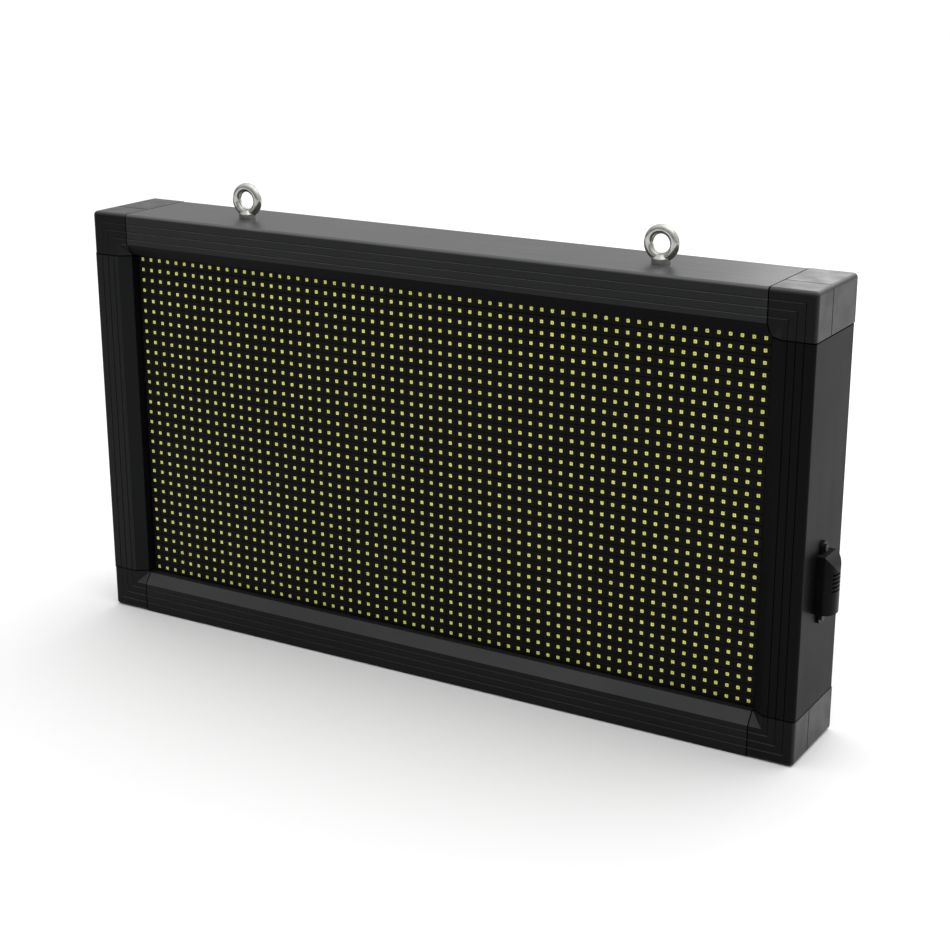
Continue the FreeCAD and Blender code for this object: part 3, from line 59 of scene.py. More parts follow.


class Shader:
    """A node material with short calls for the nodes used here."""

    def __init__(self, name):
        self.material = bpy.data.materials.new(name)
        self.material.use_nodes = True
        self.nodes = self.material.node_tree.nodes
        self.links = self.material.node_tree.links
        self.principled = self.nodes["Principled BSDF"]
        self.coords = self.nodes.new("ShaderNodeTexCoord")

    def fixed(self, **values):
        for name, value in values.items():
            self.principled.inputs[name.replace("_", " ")].default_value = value

    def link(self, source, target):
        self.links.new(source, target)

    def stretched(self, scale):
        """Object coordinates scaled along each axis."""
        mapping = self.nodes.new("ShaderNodeMapping")
        mapping.inputs["Scale"].default_value = scale
        self.link(self.coords.outputs["Object"], mapping.inputs["Vector"])
        return mapping.outputs["Vector"]

    def noise(self, scale, detail=4.0, vector=None, rough=0.5):
        texture = self.nodes.new("ShaderNodeTexNoise")
        texture.inputs["Scale"].default_value = scale
        texture.inputs["Detail"].default_value = detail
        texture.inputs["Roughness"].default_value = rough
        self.link(vector or self.coords.outputs["Object"], texture.inputs["Vector"])
        return texture.outputs["Fac"]

    def ramp(self, source, stops):
        ramp = self.nodes.new("ShaderNodeValToRGB")
        elements = ramp.color_ramp.elements
        while len(elements) < len(stops):
            elements.new(0.5)
        for element, (place, shade) in zip(elements, stops):
            element.position = place
            colour = shade if isinstance(shade, tuple) else (shade, shade, shade)
            element.color = (*colour, 1.0)
        self.link(source, ramp.inputs["Fac"])
        return ramp.outputs["Color"]

    def math(self, kind, first, second):
        node = self.nodes.new("ShaderNodeMath")
        node.operation = kind
        for socket, value in zip(node.inputs, (first, second)):
            if isinstance(value, (int, float)):
                socket.default_value = value
            else:
                self.link(value, socket)
        return node.outputs["Value"]

    def mix(self, factor, first, second):
        node = self.nodes.new("ShaderNodeMix")
        node.data_type = "RGBA"
        for name, value in (("Factor", factor), ("A", first), ("B", second)):
            wanted = [s for s in node.inputs if s.name == name and (s.type == "RGBA" or name == "Factor")]
            socket = wanted[0]
            if isinstance(value, tuple):
                socket.default_value = (*value, 1.0)
            elif isinstance(value, (int, float)):
                socket.default_value = value
            else:
                self.link(value, socket)
        return [s for s in node.outputs if s.type == "RGBA"][0]

    def colour(self, source):
        self.link(source, self.principled.inputs["Base Color"])

    def roughness(self, source):
        self.link(source, self.principled.inputs["Roughness"])

    def bump(self, source, strength, distance):
        node = self.nodes.new("ShaderNodeBump")
        node.inputs["Strength"].default_value = strength
        node.inputs["Distance"].default_value = distance
        self.link(source, node.inputs["Height"])
        previous = self.principled.inputs["Normal"]
        if previous.is_linked:
            self.link(previous.links[0].from_socket, node.inputs["Normal"])
        self.link(node.outputs["Normal"], previous)

    def split(self, vector, axis):
        node = self.nodes.new("ShaderNodeSeparateXYZ")
        self.link(vector, node.inputs["Vector"])
        return node.outputs[axis]

    def upness(self):
        """0 for surfaces that face down, 0.5 for upright ones, 1 for those that face up."""
        normal = self.nodes.new("ShaderNodeNewGeometry").outputs["Normal"]
        half = self.math("MULTIPLY", self.split(normal, "Z"), 0.5)
        return self.math("ADD", half, 0.5)

    def frontness(self, front):
        """1 for surfaces away from the display side, falling to a given share on those facing it."""
        normal = self.nodes.new("ShaderNodeNewGeometry").outputs["Normal"]
        return self.ramp(self.math("MULTIPLY", self.split(normal, "Y"), -1.0), [(0.60, 1.0), (0.95, front)])

    def painted_facing_light(self, colour, down, up, top):
        """A colour scaled by how far the surface faces up: painted shade on faces turned down, painted light
        on faces turned up.
        """
        stops = [(0.20, down), (0.46, 0.125), (0.54, 0.125), (0.79, up), (0.90, 1.0), (0.98, top)]
        bright = self.math("MULTIPLY", self.ramp(self.upness(), stops), FACING_LIGHT_GAIN)
        node = self.nodes.new("ShaderNodeVectorMath")
        node.operation = "SCALE"
        self.link(colour, node.inputs[0])
        self.link(bright, node.inputs["Scale"])
        return node.outputs["Vector"]

    def ends(self, axis, low, high):
        """1 in the painted seam shadow band at each end of a piece, 0 between."""
        place = self.split(self.coords.outputs["Object"], axis)
        away = self.math("ABSOLUTE", self.math("SUBTRACT", place, (low + high) / 2), 0.0)
        return self.math("GREATER_THAN", away, (high - low) / 2 - SEAM_SHADE_WIDTH)

    def near(self, centre, radius):
        """1 inside a ball around a point, with a ragged edge."""
        node = self.nodes.new("ShaderNodeVectorMath")
        node.operation = "DISTANCE"
        self.link(self.coords.outputs["Object"], node.inputs[0])
        node.inputs[1].default_value = centre
        ragged = self.math("MULTIPLY", self.noise(700.0, 4.0, rough=0.7), radius)
        reach = self.math("ADD", node.outputs["Value"], ragged)
        return self.ramp(self.math("DIVIDE", reach, radius), [(0.80, 1.0), (1.05, 0.0)])


def anodised(name, node_name, along, tone, specular, front=1.0):
    """Black anodised extrusion: die lines along its length, faint clouding, dust and scuffs, with painted
    light and shade by facing direction, a painted sheen by facing and a painted seam shadow at each end.
    """
    shader = Shader(name)
    scale = [900.0, 900.0, 900.0]
    scale["XYZ".index(along)] = 6.0
    lines = shader.noise(1.0, 3.0, shader.stretched(scale))
    cloud = shader.noise(9.0, 5.0)
    dust = shader.noise(420.0, 6.0, rough=0.7)
    base = shader.ramp(cloud, [(0.3, tone * 0.85), (0.7, tone * 1.15)])
    # painted light and shade by facing direction: faces turned up are lighter, faces turned down darker
    base = shader.painted_facing_light(base, 0.05, 0.90, 0.40)
    speck = shader.ramp(dust, [(0.70, 0.0), (0.80, 1.0)])
    base = shader.mix(shader.math("MULTIPLY", speck, 0.12), base, (0.10, 0.10, 0.10))
    low, high = (corner["XYZ".index(along)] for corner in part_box(node_name))
    # painted shade in the seam gap: the last bit of each end is painted near black and loses its sheen
    seam_shade = shader.ends(along, low, high)
    shader.colour(shader.mix(seam_shade, base, (0.0005, 0.0005, 0.0005)))
    blend = shader.math("MULTIPLY", shader.math("ADD", lines, cloud), 0.5)
    shader.roughness(shader.ramp(blend, [(0.3, 0.32), (0.7, 0.44)]))
    shader.fixed(Metallic=0.0, IOR=1.5, Specular_Tint=(0.93, 0.97, 1.0, 1.0))
    # painted sheen: the specular level grows on faces turned up, falls on faces turned down and on
    # front-facing surfaces, and is zero in the painted seam shadow
    levels = [(0.20, specular * 0.25), (0.50, specular), (0.80, specular * 1.6)]
    painted_sheen = shader.ramp(shader.upness(), levels)
    painted_sheen = shader.math("MULTIPLY", painted_sheen, shader.frontness(front))
    painted_sheen = shader.math("MULTIPLY", painted_sheen, shader.math("SUBTRACT", 1.0, seam_shade))
    shader.link(painted_sheen, shader.principled.inputs["Specular IOR Level"])
    shader.bump(lines, 0.06, 0.00004)
    shader.bump(dust, 0.04, 0.00004)
    return shader.material


def moulded(name, tone, rough, grain=2600.0, strength=0.25, tint=(1.0, 1.0, 1.0), specular=0.3,
            paint_facing_light=False, marks=(), front=1.0):
    """Moulded plastic with a spark-eroded grain and faint flow clouding, optional painted light and shade by
    facing direction, light chip marks, and a painted sheen that falls on front-facing surfaces when front is
    below 1.
    """
    shader = Shader(name)
    cloud = shader.noise(14.0, 4.0)
    pits = shader.noise(grain, 3.0, rough=0.6)
    low = tuple(tone * 0.85 * t for t in tint)
    high = tuple(tone * 1.15 * t for t in tint)
    base = shader.ramp(cloud, [(0.3, low), (0.7, high)])
    if paint_facing_light:
        # painted light and shade by facing direction: faces turned up are lighter, faces turned down darker
        base = shader.painted_facing_light(base, 0.06, 0.60, 0.60)
    for centre, radius, strength in marks:
        factor = shader.math("MULTIPLY", shader.near(centre, radius), strength)
        base = shader.mix(factor, base, (0.75, 0.75, 0.75))
    shader.colour(base)
    shader.roughness(shader.ramp(shader.noise(60.0, 4.0), [(0.3, rough - 0.05), (0.7, rough + 0.06)]))
    shader.fixed(IOR=1.5, Specular_IOR_Level=specular)
    # painted sheen: the specular level falls on surfaces facing the display side, so the sides reflect more
    if front < 1.0:
        painted_sheen = shader.math("MULTIPLY", shader.frontness(front), specular)
        shader.link(painted_sheen, shader.principled.inputs["Specular IOR Level"])
    shader.bump(pits, strength, 0.00006)
    return shader.material


def plated(name, tone, rough, tint, metallic=1.0):
    """Zinc or chrome plate: bright metal with streaky tarnish."""
    shader = Shader(name)
    tarnish = shader.noise(160.0, 6.0, rough=0.65)
    streaks = shader.noise(1.0, 4.0, shader.stretched((900.0, 900.0, 160.0)))
    low = tuple(tone * 0.72 * t for t in tint)
    high = tuple(tone * 1.05 * t for t in tint)
    shader.colour(shader.ramp(tarnish, [(0.25, low), (0.65, high)]))
    shader.roughness(shader.ramp(streaks, [(0.3, rough * 0.7), (0.7, rough * 1.5)]))
    shader.fixed(Metallic=metallic)
    shader.bump(tarnish, 0.12, 0.0001)
    return shader.material


def galvanised(name):
    """Galvanised sheet with crystal spangle."""
    shader = Shader(name)
    crystals = shader.nodes.new("ShaderNodeTexVoronoi")
    crystals.inputs["Scale"].default_value = 220.0
    shader.link(shader.coords.outputs["Object"], crystals.inputs["Vector"])
    dull, bright = (0.48, 0.49, 0.50), (0.66, 0.67, 0.68)
    shader.colour(shader.ramp(crystals.outputs["Color"], [(0.2, dull), (0.8, bright)]))
    shader.roughness(shader.ramp(crystals.outputs["Color"], [(0.2, 0.32), (0.8, 0.5)]))
    shader.fixed(Metallic=1.0)
    shader.bump(shader.noise(700.0), 0.1, 0.00005)
    return shader.material


def painted_sheet(name, tone):
    """Powder-coated sheet: fine orange peel over black."""
    shader = Shader(name)
    peel = shader.noise(900.0, 2.0)
    cloud = shader.noise(7.0, 5.0)
    shader.colour(shader.ramp(cloud, [(0.3, tone * 0.85), (0.7, tone * 1.2)]))
    shader.roughness(shader.ramp(peel, [(0.3, 0.42), (0.7, 0.52)]))
    shader.bump(peel, 0.35, 0.00008)
    return shader.material


def card_laminate(face):
    """Green board, with dark mouldings for whatever stands proud of its face."""
    shader = Shader("card laminate")
    weave = shader.noise(900.0, 3.0)
    green = shader.ramp(shader.noise(30.0, 4.0), [(0.3, (0.012, 0.085, 0.035)), (0.7, (0.018, 0.115, 0.050))])
    depth = shader.math("DIVIDE", shader.split(shader.coords.outputs["Object"], "Y"), face)
    proud = shader.math("GREATER_THAN", depth, 1.0)
    shader.colour(shader.mix(proud, green, (0.022, 0.022, 0.024)))
    shader.roughness(shader.ramp(weave, [(0.3, 0.26), (0.7, 0.36)]))
    shader.bump(weave, 0.15, 0.00005)
    return shader.material


def phosphor(pitch_x, pitch_z):
    """Pale yellow LED phosphor, each package a shade of its own."""
    shader = Shader("led phosphor")
    snap = shader.nodes.new("ShaderNodeVectorMath")
    snap.operation = "SNAP"
    snap.inputs[1].default_value = (pitch_x, 1.0, pitch_z)
    shader.link(shader.coords.outputs["Object"], snap.inputs[0])
    cell = shader.nodes.new("ShaderNodeTexWhiteNoise")
    shader.link(snap.outputs["Vector"], cell.inputs["Vector"])
    body = shader.ramp(cell.outputs["Value"], [(0.0, (0.70, 0.70, 0.10)), (1.0, (0.84, 0.84, 0.14))])
    grain = shader.noise(5200.0, 3.0)
    shader.colour(shader.mix(shader.math("MULTIPLY", grain, 0.25), body, (0.92, 0.92, 0.26)))
    shader.roughness(shader.ramp(grain, [(0.3, 0.28), (0.7, 0.42)]))
    shader.fixed(Subsurface_Weight=0.15, Subsurface_Radius=(0.0006, 0.0006, 0.0003))
    shader.bump(grain, 0.15, 0.00004)
    return shader.material


# width of the painted seam shadow at each end of a profile
SEAM_SHADE_WIDTH = 0.9 * MM
CORNER_CHIP = (-0.3560, -0.0425, 0.0405)

MATERIALS = {
    # The four profile members are one extrusion in lit and shaded copies: the top is painted lighter and
    # glossier, the bottom, left and right darker, for the light that falls on each.
    "top": anodised("black anodised top painted lit", "top_profile", "X", 0.011, 0.23, 0.72),
    "bottom": anodised("black anodised bottom painted shaded", "bottom_profile", "X", 0.005, 0.13),
    "left": anodised("black anodised left painted shaded", "left_profile", "Z", 0.004, 0.12),
    "right": anodised("black anodised right painted shaded", "right_profile", "Z", 0.003, 0.05),
    "corner": moulded("corner plastic", 0.006, 0.36, 1900.0, 0.3, specular=0.25, paint_facing_light=True,
                      marks=[(CORNER_CHIP, 0.0012, 1.0)], front=0.28),
    "mask": moulded("mask plastic", 0.003, 0.50, 2400.0, 0.35, (1.0, 0.98, 0.94), specular=0.09, paint_facing_light=True),
    "board": moulded("board solder mask", 0.012, 0.35, 900.0, 0.2),
    "shell": moulded("shell plastic", 0.02, 0.5),
    "steel": galvanised("galvanised steel"),
    "screw": plated("screw steel", 0.50, 0.28, (1.0, 0.99, 0.96)),
    "dark screw": plated("blackened screw", 0.04, 0.42, (1.0, 1.0, 1.0)),
    "zinc": plated("bright zinc", 0.50, 0.20, (0.99, 1.0, 0.93)),
    "sheet": painted_sheet("black sheet", 0.020),
    "hinge": plated("hinge steel", 0.55, 0.3, (1.0, 1.0, 1.0)),
    "chrome": plated("lock chrome", 0.72, 0.12, (1.0, 1.0, 1.0)),
    "cowl": moulded("cowl plastic", 0.0030, 0.30, 1800.0, 0.2, specular=0.06, paint_facing_light=True),
    "rubber": moulded("black rubber", 0.02, 0.7, 1500.0, 0.4),
    "terminal": moulded("terminal plastic", 0.03, 0.45),
    "nylon": moulded("nylon", 0.75, 0.45, 1200.0, 0.15),
    "ribbon": moulded("ribbon cable", 0.5, 0.5, 600.0, 0.2),
    "red": moulded("red lead", 0.4, 0.35, 900.0, 0.15, (1.2, 0.08, 0.06)),
    "black": moulded("black lead", 0.03, 0.45),
    "package": moulded("led package", 0.005, 0.4, 3200.0, 0.2, specular=0.15),
    "die": moulded("led die", 0.30, 0.4, 3200.0, 0.2, (1.0, 0.9, 0.3)),
    # near-black crosses on the screw heads: painted shade of the cross recesses
    "recess": moulded("painted recess shade", 0.01, 0.6, 900.0, 0.1),
    "chip": moulded("chip resin", 0.02, 0.4, 1500.0, 0.2),
    "can": plated("capacitor can", 0.65, 0.3, (1.0, 1.0, 1.0)),
}

NODE_MATERIALS = {
    "top": ["top_profile"],
    "bottom": ["bottom_profile"],
    "left": ["left_profile"],
    "right": ["right_profile"],
    "corner": ["corner_bottom_left", "corner_bottom_right", "corner_top_left", "corner_top_right"],
    "steel": ["module_rail_left", "module_rail_centre", "module_rail_right", "equipment_plate",
              "eye_spreaders", "power_supply"],
    "screw": ["corner_screws", "rail_screws", "module_screws", "panel_screws",
              "plate_screws", "hinge_screws_panel", "hinge_screws_door"],
    "dark screw": ["cowl_screws"],
    "zinc": ["eye_bolt_left", "eye_bolt_right", "eye_nut_left", "eye_nut_right", "eye_washers"],
    "sheet": ["rear_panel", "service_door"],
    "hinge": ["hinge_leaves_panel", "hinge_leaves_door", "hinge_pins"],
    "chrome": ["lock_barrel", "lock_cam", "lock_nut"],
    "cowl": ["cable_cowl"],
    "rubber": ["door_seal", "cable_grommet"],
    "terminal": ["terminal_block"],
    "card": ["control_card"],
    "nylon": ["card_standoffs", "module_sockets"],
    "ribbon": ["data_ribbons"],
    "red": ["dc_leads"],
    "black": ["mains_lead"],
}
MODULES = ["upper_left", "upper_right", "lower_left", "lower_right"]
for module in MODULES:
    NODE_MATERIALS.setdefault("mask", []).append("module_mask_" + module)
    NODE_MATERIALS.setdefault("board", []).append("module_board_" + module)
    NODE_MATERIALS.setdefault("shell", []).append("module_shell_" + module)


def dress_nodes():
    for key, names in NODE_MATERIALS.items():
        for name in names:
            obj = frame["nodes"][name]
            if obj.material_slots:
                for slot in obj.material_slots:
                    slot.link = "OBJECT"
                    slot.material = MATERIALS[key]
            else:
                obj.data.materials.append(MATERIALS[key])


BEVEL_ANGLE = math.radians(35.0)


def soften(name, width):
    """A small bevel on a CAD node's sharp edges."""
    modifier = frame["nodes"][name].modifiers.new("edge", "BEVEL")
    modifier.width = width
    modifier.segments = 2
    modifier.limit_method = "ANGLE"
    modifier.angle_limit = BEVEL_ANGLE
    modifier.harden_normals = False


# ---------------------------------------------------------------- new pieces
def piece(name, mesh_data, body=SIGN):
    obj = bpy.data.objects.new(name, mesh_data)
    bpy.context.scene.collection.objects.link(obj)
    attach(obj, body)
    return obj


COLUMNS, ROWS = 32, 16
LED_BODY = 4.0 * MM
LED_LENS = 3.15 * MM
LED_SINK = 0.12 * MM
LED_STAND = 2.0 * MM
PACKAGE_SIDE = 0.15 * MM
PACKAGE_ROUND = 0.12 * MM
LENS_LIP = 0.06 * MM
LENS_FLAT = 0.82
DIE_FOOT = 0.42 * MM
DIE_TOP = 0.36 * MM
MODULE_GAP = 0.4 * MM
PLACE_JITTER = 0.03 * MM
TURN_JITTER = 0.02


def square(half, y, turn=0.22):
    """A square ring of points with cut corners."""
    cut = half * turn
    flat = half - cut
    return [(-flat, y, -half), (flat, y, -half), (half, y, -flat), (half, y, flat),
            (flat, y, half), (-flat, y, half), (-half, y, flat), (-half, y, -flat)]


def led_template(depth):
    """One package facing -Y about its own centre: rings from the foot to the die."""
    half, lens = LED_BODY / 2, LED_LENS / 2
    rings = [square(half, depth, 0.1), square(half, PACKAGE_SIDE, 0.1),
             square(half - PACKAGE_ROUND, 0.0, 0.12), square(lens, 0.0),
             square(lens - LENS_LIP, LED_SINK), square(lens * LENS_FLAT, LED_SINK * 0.8),
             square(DIE_FOOT, LED_SINK * 0.9, 0.1), square(DIE_TOP, LED_SINK * 0.4, 0.1)]
    kinds = [0, 0, 0, 0, 1, 1, 2]
    points = [p for ring in rings for p in ring]
    faces, slots = [], []
    for level, kind in enumerate(kinds):
        low, high = 8 * level, 8 * (level + 1)
        for side in range(8):
            following = (side + 1) % 8
            faces.append((low + side, low + following, high + following, high + side))
            slots.append(kind)
    faces.append(tuple(range(8 * len(kinds), 8 * len(kinds) + 8)))
    slots.append(2)
    faces.append(tuple(reversed(range(8))))
    slots.append(0)
    return points, faces, slots


def led_array(module, rng):
    low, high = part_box("module_board_" + module)
    centre = (Vector(low) + Vector(high)) / 2
    pitch_x = (high[0] - low[0] + MODULE_GAP) / COLUMNS
    pitch_z = (high[2] - low[2] + MODULE_GAP) / ROWS
    foot = low[1]
    top = foot - LED_STAND
    points, faces, slots = led_template(foot - top)
    vertices, polygons, indices = [], [], []
    for column in range(COLUMNS):
        for row in range(ROWS):
            x = centre.x + (column - (COLUMNS - 1) / 2) * pitch_x + rng.gauss(0, PLACE_JITTER)
            z = centre.z + (row - (ROWS - 1) / 2) * pitch_z + rng.gauss(0, PLACE_JITTER)
            turn = Matrix.Rotation(rng.gauss(0, TURN_JITTER), 3, "Y")
            start = len(vertices)
            for point in points:
                moved = turn @ Vector(point)
                vertices.append((x + moved.x, top + moved.y, z + moved.z))
            polygons += [tuple(start + index for index in face) for face in faces]
            indices += slots
    mesh = bpy.data.meshes.new("led packages")
    mesh.from_pydata(vertices, [], polygons)
    mesh.polygons.foreach_set("material_index", indices)
    piece("led_packages_" + module, mesh)
    for key in ("package", "phosphor", "die"):
        mesh.materials.append(MATERIALS[key])


MASK_FACE = 1.9 * MM
RIB_RISE = 0.35 * MM
RIB_HALF = 0.25 * MM
RIB_ROOT = 0.1 * MM
RIB_END = 0.2 * MM


def mask_grid(module):
    """Fine upright ribs between the mask's columns."""
    low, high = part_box("module_mask_" + module)
    pitch = (high[0] - low[0] + MODULE_GAP) / COLUMNS
    centre = (low[0] + high[0]) / 2
    face_y = high[1] - MASK_FACE
    bm = bmesh.new()
    for column in range(COLUMNS - 1):
        x = centre + (column - (COLUMNS - 2) / 2) * pitch
        outline = [(x - RIB_HALF, face_y + RIB_ROOT), (x - RIB_HALF * 0.6, face_y - RIB_RISE),
                   (x + RIB_HALF * 0.6, face_y - RIB_RISE), (x + RIB_HALF, face_y + RIB_ROOT)]
        prism(bm, outline, low[2] + RIB_END, high[2] - RIB_END, "z")
    finished(bm, "mask_grid_" + module, "mask")


def prism(bm, outline, low, high, axis):
    """A closed prism: an outline in the other two axes, carried from low to high along an axis."""
    order = {"x": lambda a, b, c: (c, a, b), "y": lambda a, b, c: (a, c, b), "z": lambda a, b, c: (a, b, c)}
    ends = [[bm.verts.new(order[axis](a, b, level)) for a, b in outline] for level in (low, high)]
    bm.faces.new(ends[0])
    bm.faces.new(list(reversed(ends[1])))
    for index in range(len(outline)):
        following = (index + 1) % len(outline)
        bm.faces.new((ends[0][following], ends[0][index], ends[1][index], ends[1][following]))


def finished(bm, name, material, body=SIGN):
    bmesh.ops.recalc_face_normals(bm, faces=bm.faces)
    mesh = bpy.data.meshes.new(name)
    bm.to_mesh(mesh)
    bm.free()
    obj = piece(name, mesh, body)
    mesh.materials.append(MATERIALS[material])
    return obj


WELD_REACH = 0.001 * MM


def islands(name):
    """Low and high corners of each separate solid in a CAD node, in the frame."""
    obj = frame["nodes"][name]
    bm = bmesh.new()
    bm.from_mesh(obj.data)
    bmesh.ops.remove_doubles(bm, verts=bm.verts, dist=WELD_REACH)
    bm.verts.ensure_lookup_table()
    seen, found = set(), []
    for vertex in bm.verts:
        if vertex.index in seen:
            continue
        stack, points = [vertex], []
        seen.add(vertex.index)
        while stack:
            current = stack.pop()
            points.append(obj.matrix_world @ current.co)
            for edge in current.link_edges:
                other = edge.other_vert(current)
                if other.index not in seen:
                    seen.add(other.index)
                    stack.append(other)
        low = Vector([min(p[axis] for p in points) for axis in range(3)])
        high = Vector([max(p[axis] for p in points) for axis in range(3)])
        found.append((low, high))
    bm.free()
    return found


RECESS_ARM = 1.9 * MM
RECESS_HALF = 0.34 * MM
RECESS_DEPTH = 0.2 * MM
RECESS_PROUD = 0.03 * MM
SECOND_ARM_STEP = 0.005 * MM


def recess_shade_crosses(node_name, axis, slot_body, rng):
    """A near-black cross standing just proud of the outer end of each screw head in a node: painted shade for
    its cross recess.
    """
    bm = bmesh.new()
    turned = "xyz".index(axis)
    first, second = [index for index in range(3) if index != turned]
    for low, high in islands(node_name):
        centre = (low + high) / 2
        angle = rng.uniform(0.0, math.pi / 2)
        top = high[turned]
        for quarter in (0.0, math.pi / 2):
            turn = Matrix.Rotation(angle + quarter, 2)
            arm = [Vector((-RECESS_ARM, -RECESS_HALF)), Vector((RECESS_ARM, -RECESS_HALF)),
                   Vector((RECESS_ARM * 0.9, RECESS_HALF)), Vector((-RECESS_ARM * 0.9, RECESS_HALF))]
            points = [turn @ corner for corner in arm]
            outline = [(centre[first] + p.x, centre[second] + p.y) for p in points]
            prism(bm, outline, top - RECESS_DEPTH, top + RECESS_PROUD + quarter * SECOND_ARM_STEP, axis)
    finished(bm, node_name + "_recess_shade", "recess", slot_body)


def corner_of(name, index):
    return Vector(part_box(name)[index])


def block_outline(x, z, half_x, half_z, cut):
    """A rectangle with cut corners."""
    return [(x - half_x + cut, z - half_z), (x + half_x - cut, z - half_z), (x + half_x, z - half_z + cut),
            (x + half_x, z + half_z - cut), (x + half_x - cut, z + half_z), (x - half_x + cut, z + half_z),
            (x - half_x, z + half_z - cut), (x - half_x, z - half_z + cut)]


SMALL_PARTS = 46
SMALL_PART_SIZES = [(1.0, 0.6), (0.6, 1.0), (1.6, 0.8)]
SMALL_PART_RISE = 0.7 * MM
CARD_THICKNESS = 1.6 * MM
CARD_SKIN = 0.05 * MM
CAPACITORS = 4
CAPACITOR_PITCH = 12 * MM
CAPACITOR_RADIUS = 3.1 * MM
CAPACITOR_RISE = 7.5 * MM


def card_parts(rng):
    """Surface parts and capacitors on the control card."""
    low, high = corner_of("control_card", 0), corner_of("control_card", 1)
    face = low.y + CARD_THICKNESS
    bm = bmesh.new()
    for _ in range(SMALL_PARTS):
        x = rng.uniform(low.x + 66 * MM, high.x - 24 * MM)
        z = rng.uniform(high.z - 18 * MM, high.z - 7 * MM)
        half_x, half_z = rng.choice(SMALL_PART_SIZES)
        outline = block_outline(x, z, half_x * MM, half_z * MM, 0.15 * MM)
        prism(bm, outline, face, face + SMALL_PART_RISE, "y")
    finished(bm, "card_small_parts", "chip")
    bm = bmesh.new()
    for index in range(CAPACITORS):
        x = low.x + 30 * MM + CAPACITOR_PITCH * index
        z = low.z + 14 * MM
        ring = [(x + CAPACITOR_RADIUS * math.cos(a), z + CAPACITOR_RADIUS * math.sin(a)) for a in
                (math.tau * step / 20 for step in range(20))]
        prism(bm, ring, face, face + CAPACITOR_RISE, "y")
    obj = finished(bm, "card_capacitors", "can")
    edge = obj.modifiers.new("edge", "BEVEL")
    edge.width = 0.5 * MM
    edge.segments = 3


TERMINALS = 7
TERMINAL_SCREW = 3.0 * MM
SLOT_HALF_ANGLE = 0.15


def terminal_screws(rng):
    """A slotted screw in each terminal cell, made as two halves beside the slot."""
    low, high = corner_of("terminal_block", 0), corner_of("terminal_block", 1)
    pitch = (high.z - low.z) / TERMINALS
    bm = bmesh.new()
    for index in range(TERMINALS):
        x, z = (low.x + high.x) / 2, low.z + (index + 0.5) * pitch
        turn = rng.uniform(0, math.pi)
        for start in (turn + SLOT_HALF_ANGLE, turn + math.pi + SLOT_HALF_ANGLE):
            arc = [start + (math.pi - 2 * SLOT_HALF_ANGLE) * step / 10 for step in range(11)]
            outline = [(x + TERMINAL_SCREW * math.cos(a), z + TERMINAL_SCREW * math.sin(a)) for a in arc]
            prism(bm, outline, low.y + 5 * MM, low.y + 6.6 * MM, "y")
    finished(bm, "terminal_screws", "screw")


# ---------------------------------------------------------------- stage
FLOOR_HALF = 14.0


def floor():
    bm = bmesh.new()
    bmesh.ops.create_grid(bm, x_segments=1, y_segments=1, size=FLOOR_HALF)
    mesh = bpy.data.meshes.new("floor")
    bm.to_mesh(mesh)
    bm.free()
    obj = bpy.data.objects.new("floor", mesh)
    bpy.context.scene.collection.objects.link(obj)
    shader = Shader("pale floor")
    cloud = shader.noise(0.6, 3.0)
    shader.colour(shader.ramp(cloud, [(0.3, (0.90, 0.90, 0.90)), (0.7, (0.93, 0.93, 0.93))]))
    shader.fixed(Roughness=0.9)
    mesh.materials.append(shader.material)


WORLD_LEVEL = 0.40
WORLD_SLOPES = {"X": 0.12, "Y": 0.26, "Z": 1.08}
WORLD_LIMITS = (0.08, 2.0)


def world():
    """A pale studio: dim in front, brighter behind, brightest overhead."""
    scene_world = bpy.data.worlds.new("studio")
    bpy.context.scene.world = scene_world
    scene_world.use_nodes = True
    nodes, links = scene_world.node_tree.nodes, scene_world.node_tree.links
    background = nodes["Background"]
    coords = nodes.new("ShaderNodeTexCoord")
    split = nodes.new("ShaderNodeSeparateXYZ")
    links.new(coords.outputs["Generated"], split.inputs["Vector"])
    total = None
    for axis, weight in WORLD_SLOPES.items():
        part = nodes.new("ShaderNodeMath")
        part.operation = "MULTIPLY_ADD"
        part.inputs[1].default_value = weight
        part.inputs[2].default_value = WORLD_LEVEL
        if total is not None:
            links.new(total, part.inputs[2])
        links.new(split.outputs[axis], part.inputs[0])
        total = part.outputs["Value"]
    limit = nodes.new("ShaderNodeClamp")
    limit.inputs["Min"].default_value, limit.inputs["Max"].default_value = WORLD_LIMITS
    links.new(total, limit.inputs["Value"])
    links.new(limit.outputs["Result"], background.inputs["Strength"])
    background.inputs["Color"].default_value = (1.0, 1.0, 1.0, 1.0)


def aim(obj, place, target):
    obj.location = place
    obj.rotation_euler = (Vector(target) - Vector(place)).to_track_quat("-Z", "Y").to_euler()


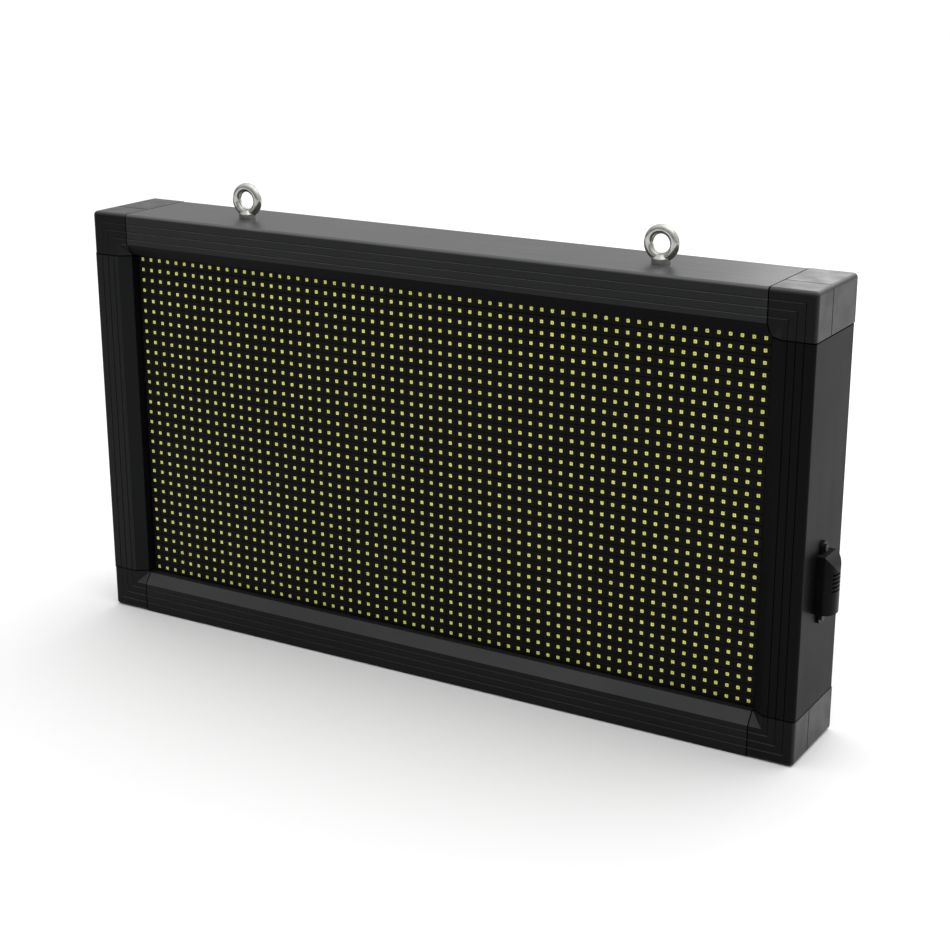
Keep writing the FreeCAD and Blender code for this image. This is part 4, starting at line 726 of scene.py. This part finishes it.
def softbox(name, place, target, size, watts):
    light = bpy.data.lights.new(name, "AREA")
    light.shape = "RECTANGLE"
    light.size, light.size_y = size
    light.energy = watts
    obj = bpy.data.objects.new(name, light)
    bpy.context.scene.collection.objects.link(obj)
    aim(obj, place, target)


def lights():
    softbox("overhead", (0.5, 0.3, 2.4), (0.0, 0.0, 0.2), (2.6, 2.0), 12.0)
    softbox("behind", (-0.1, 3.0, 1.15), (0.3, 0.0, 0.40), (1.5, 1.1), 13.0)


CAMERA_TURN = math.radians(30.61)
CAMERA_RISE = math.radians(17.66)
CAMERA_DISTANCE = 1.6694
CAMERA_TARGET = (0.0338, 0.0, 0.1884)
CAMERA_LENS = 70.694


def camera():
    data = bpy.data.cameras.new("camera")
    data.lens = CAMERA_LENS
    data.clip_end = 100.0
    obj = bpy.data.objects.new("camera", data)
    bpy.context.scene.collection.objects.link(obj)
    level = math.cos(CAMERA_RISE)
    away = Vector((math.sin(CAMERA_TURN) * level, -math.cos(CAMERA_TURN) * level, math.sin(CAMERA_RISE)))
    aim(obj, Vector(CAMERA_TARGET) + away * CAMERA_DISTANCE, CAMERA_TARGET)
    bpy.context.scene.camera = obj


board_low, board_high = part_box("module_board_upper_left")
pitches = [(board_high[axis] - board_low[axis]) / count for axis, count in ((0, COLUMNS), (2, ROWS))]
MATERIALS["phosphor"] = phosphor(*pitches)
MATERIALS["card"] = card_laminate(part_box("control_card")[0][1] + CARD_THICKNESS + CARD_SKIN)
dress_nodes()
for name in ("top_profile", "bottom_profile", "left_profile", "right_profile"):
    soften(name, 0.4 * MM)
for name in NODE_MATERIALS["corner"]:
    soften(name, 0.4 * MM)
soften("cable_cowl", 0.3 * MM)
rng = random.Random(7)
for module in MODULES:
    led_array(module, rng)
    mask_grid(module)
for node_name, axis, body in (("panel_screws", "y", SIGN), ("hinge_screws_panel", "y", SIGN),
                              ("hinge_screws_door", "y", "door"), ("cowl_screws", "x", SIGN),
                              ("plate_screws", "y", SIGN), ("rail_screws", "y", SIGN)):
    recess_shade_crosses(node_name, axis, body, rng)
card_parts(rng)
terminal_screws(rng)
floor()
world()
lights()
camera()
bpy.context.scene.view_settings.view_transform = "Standard"
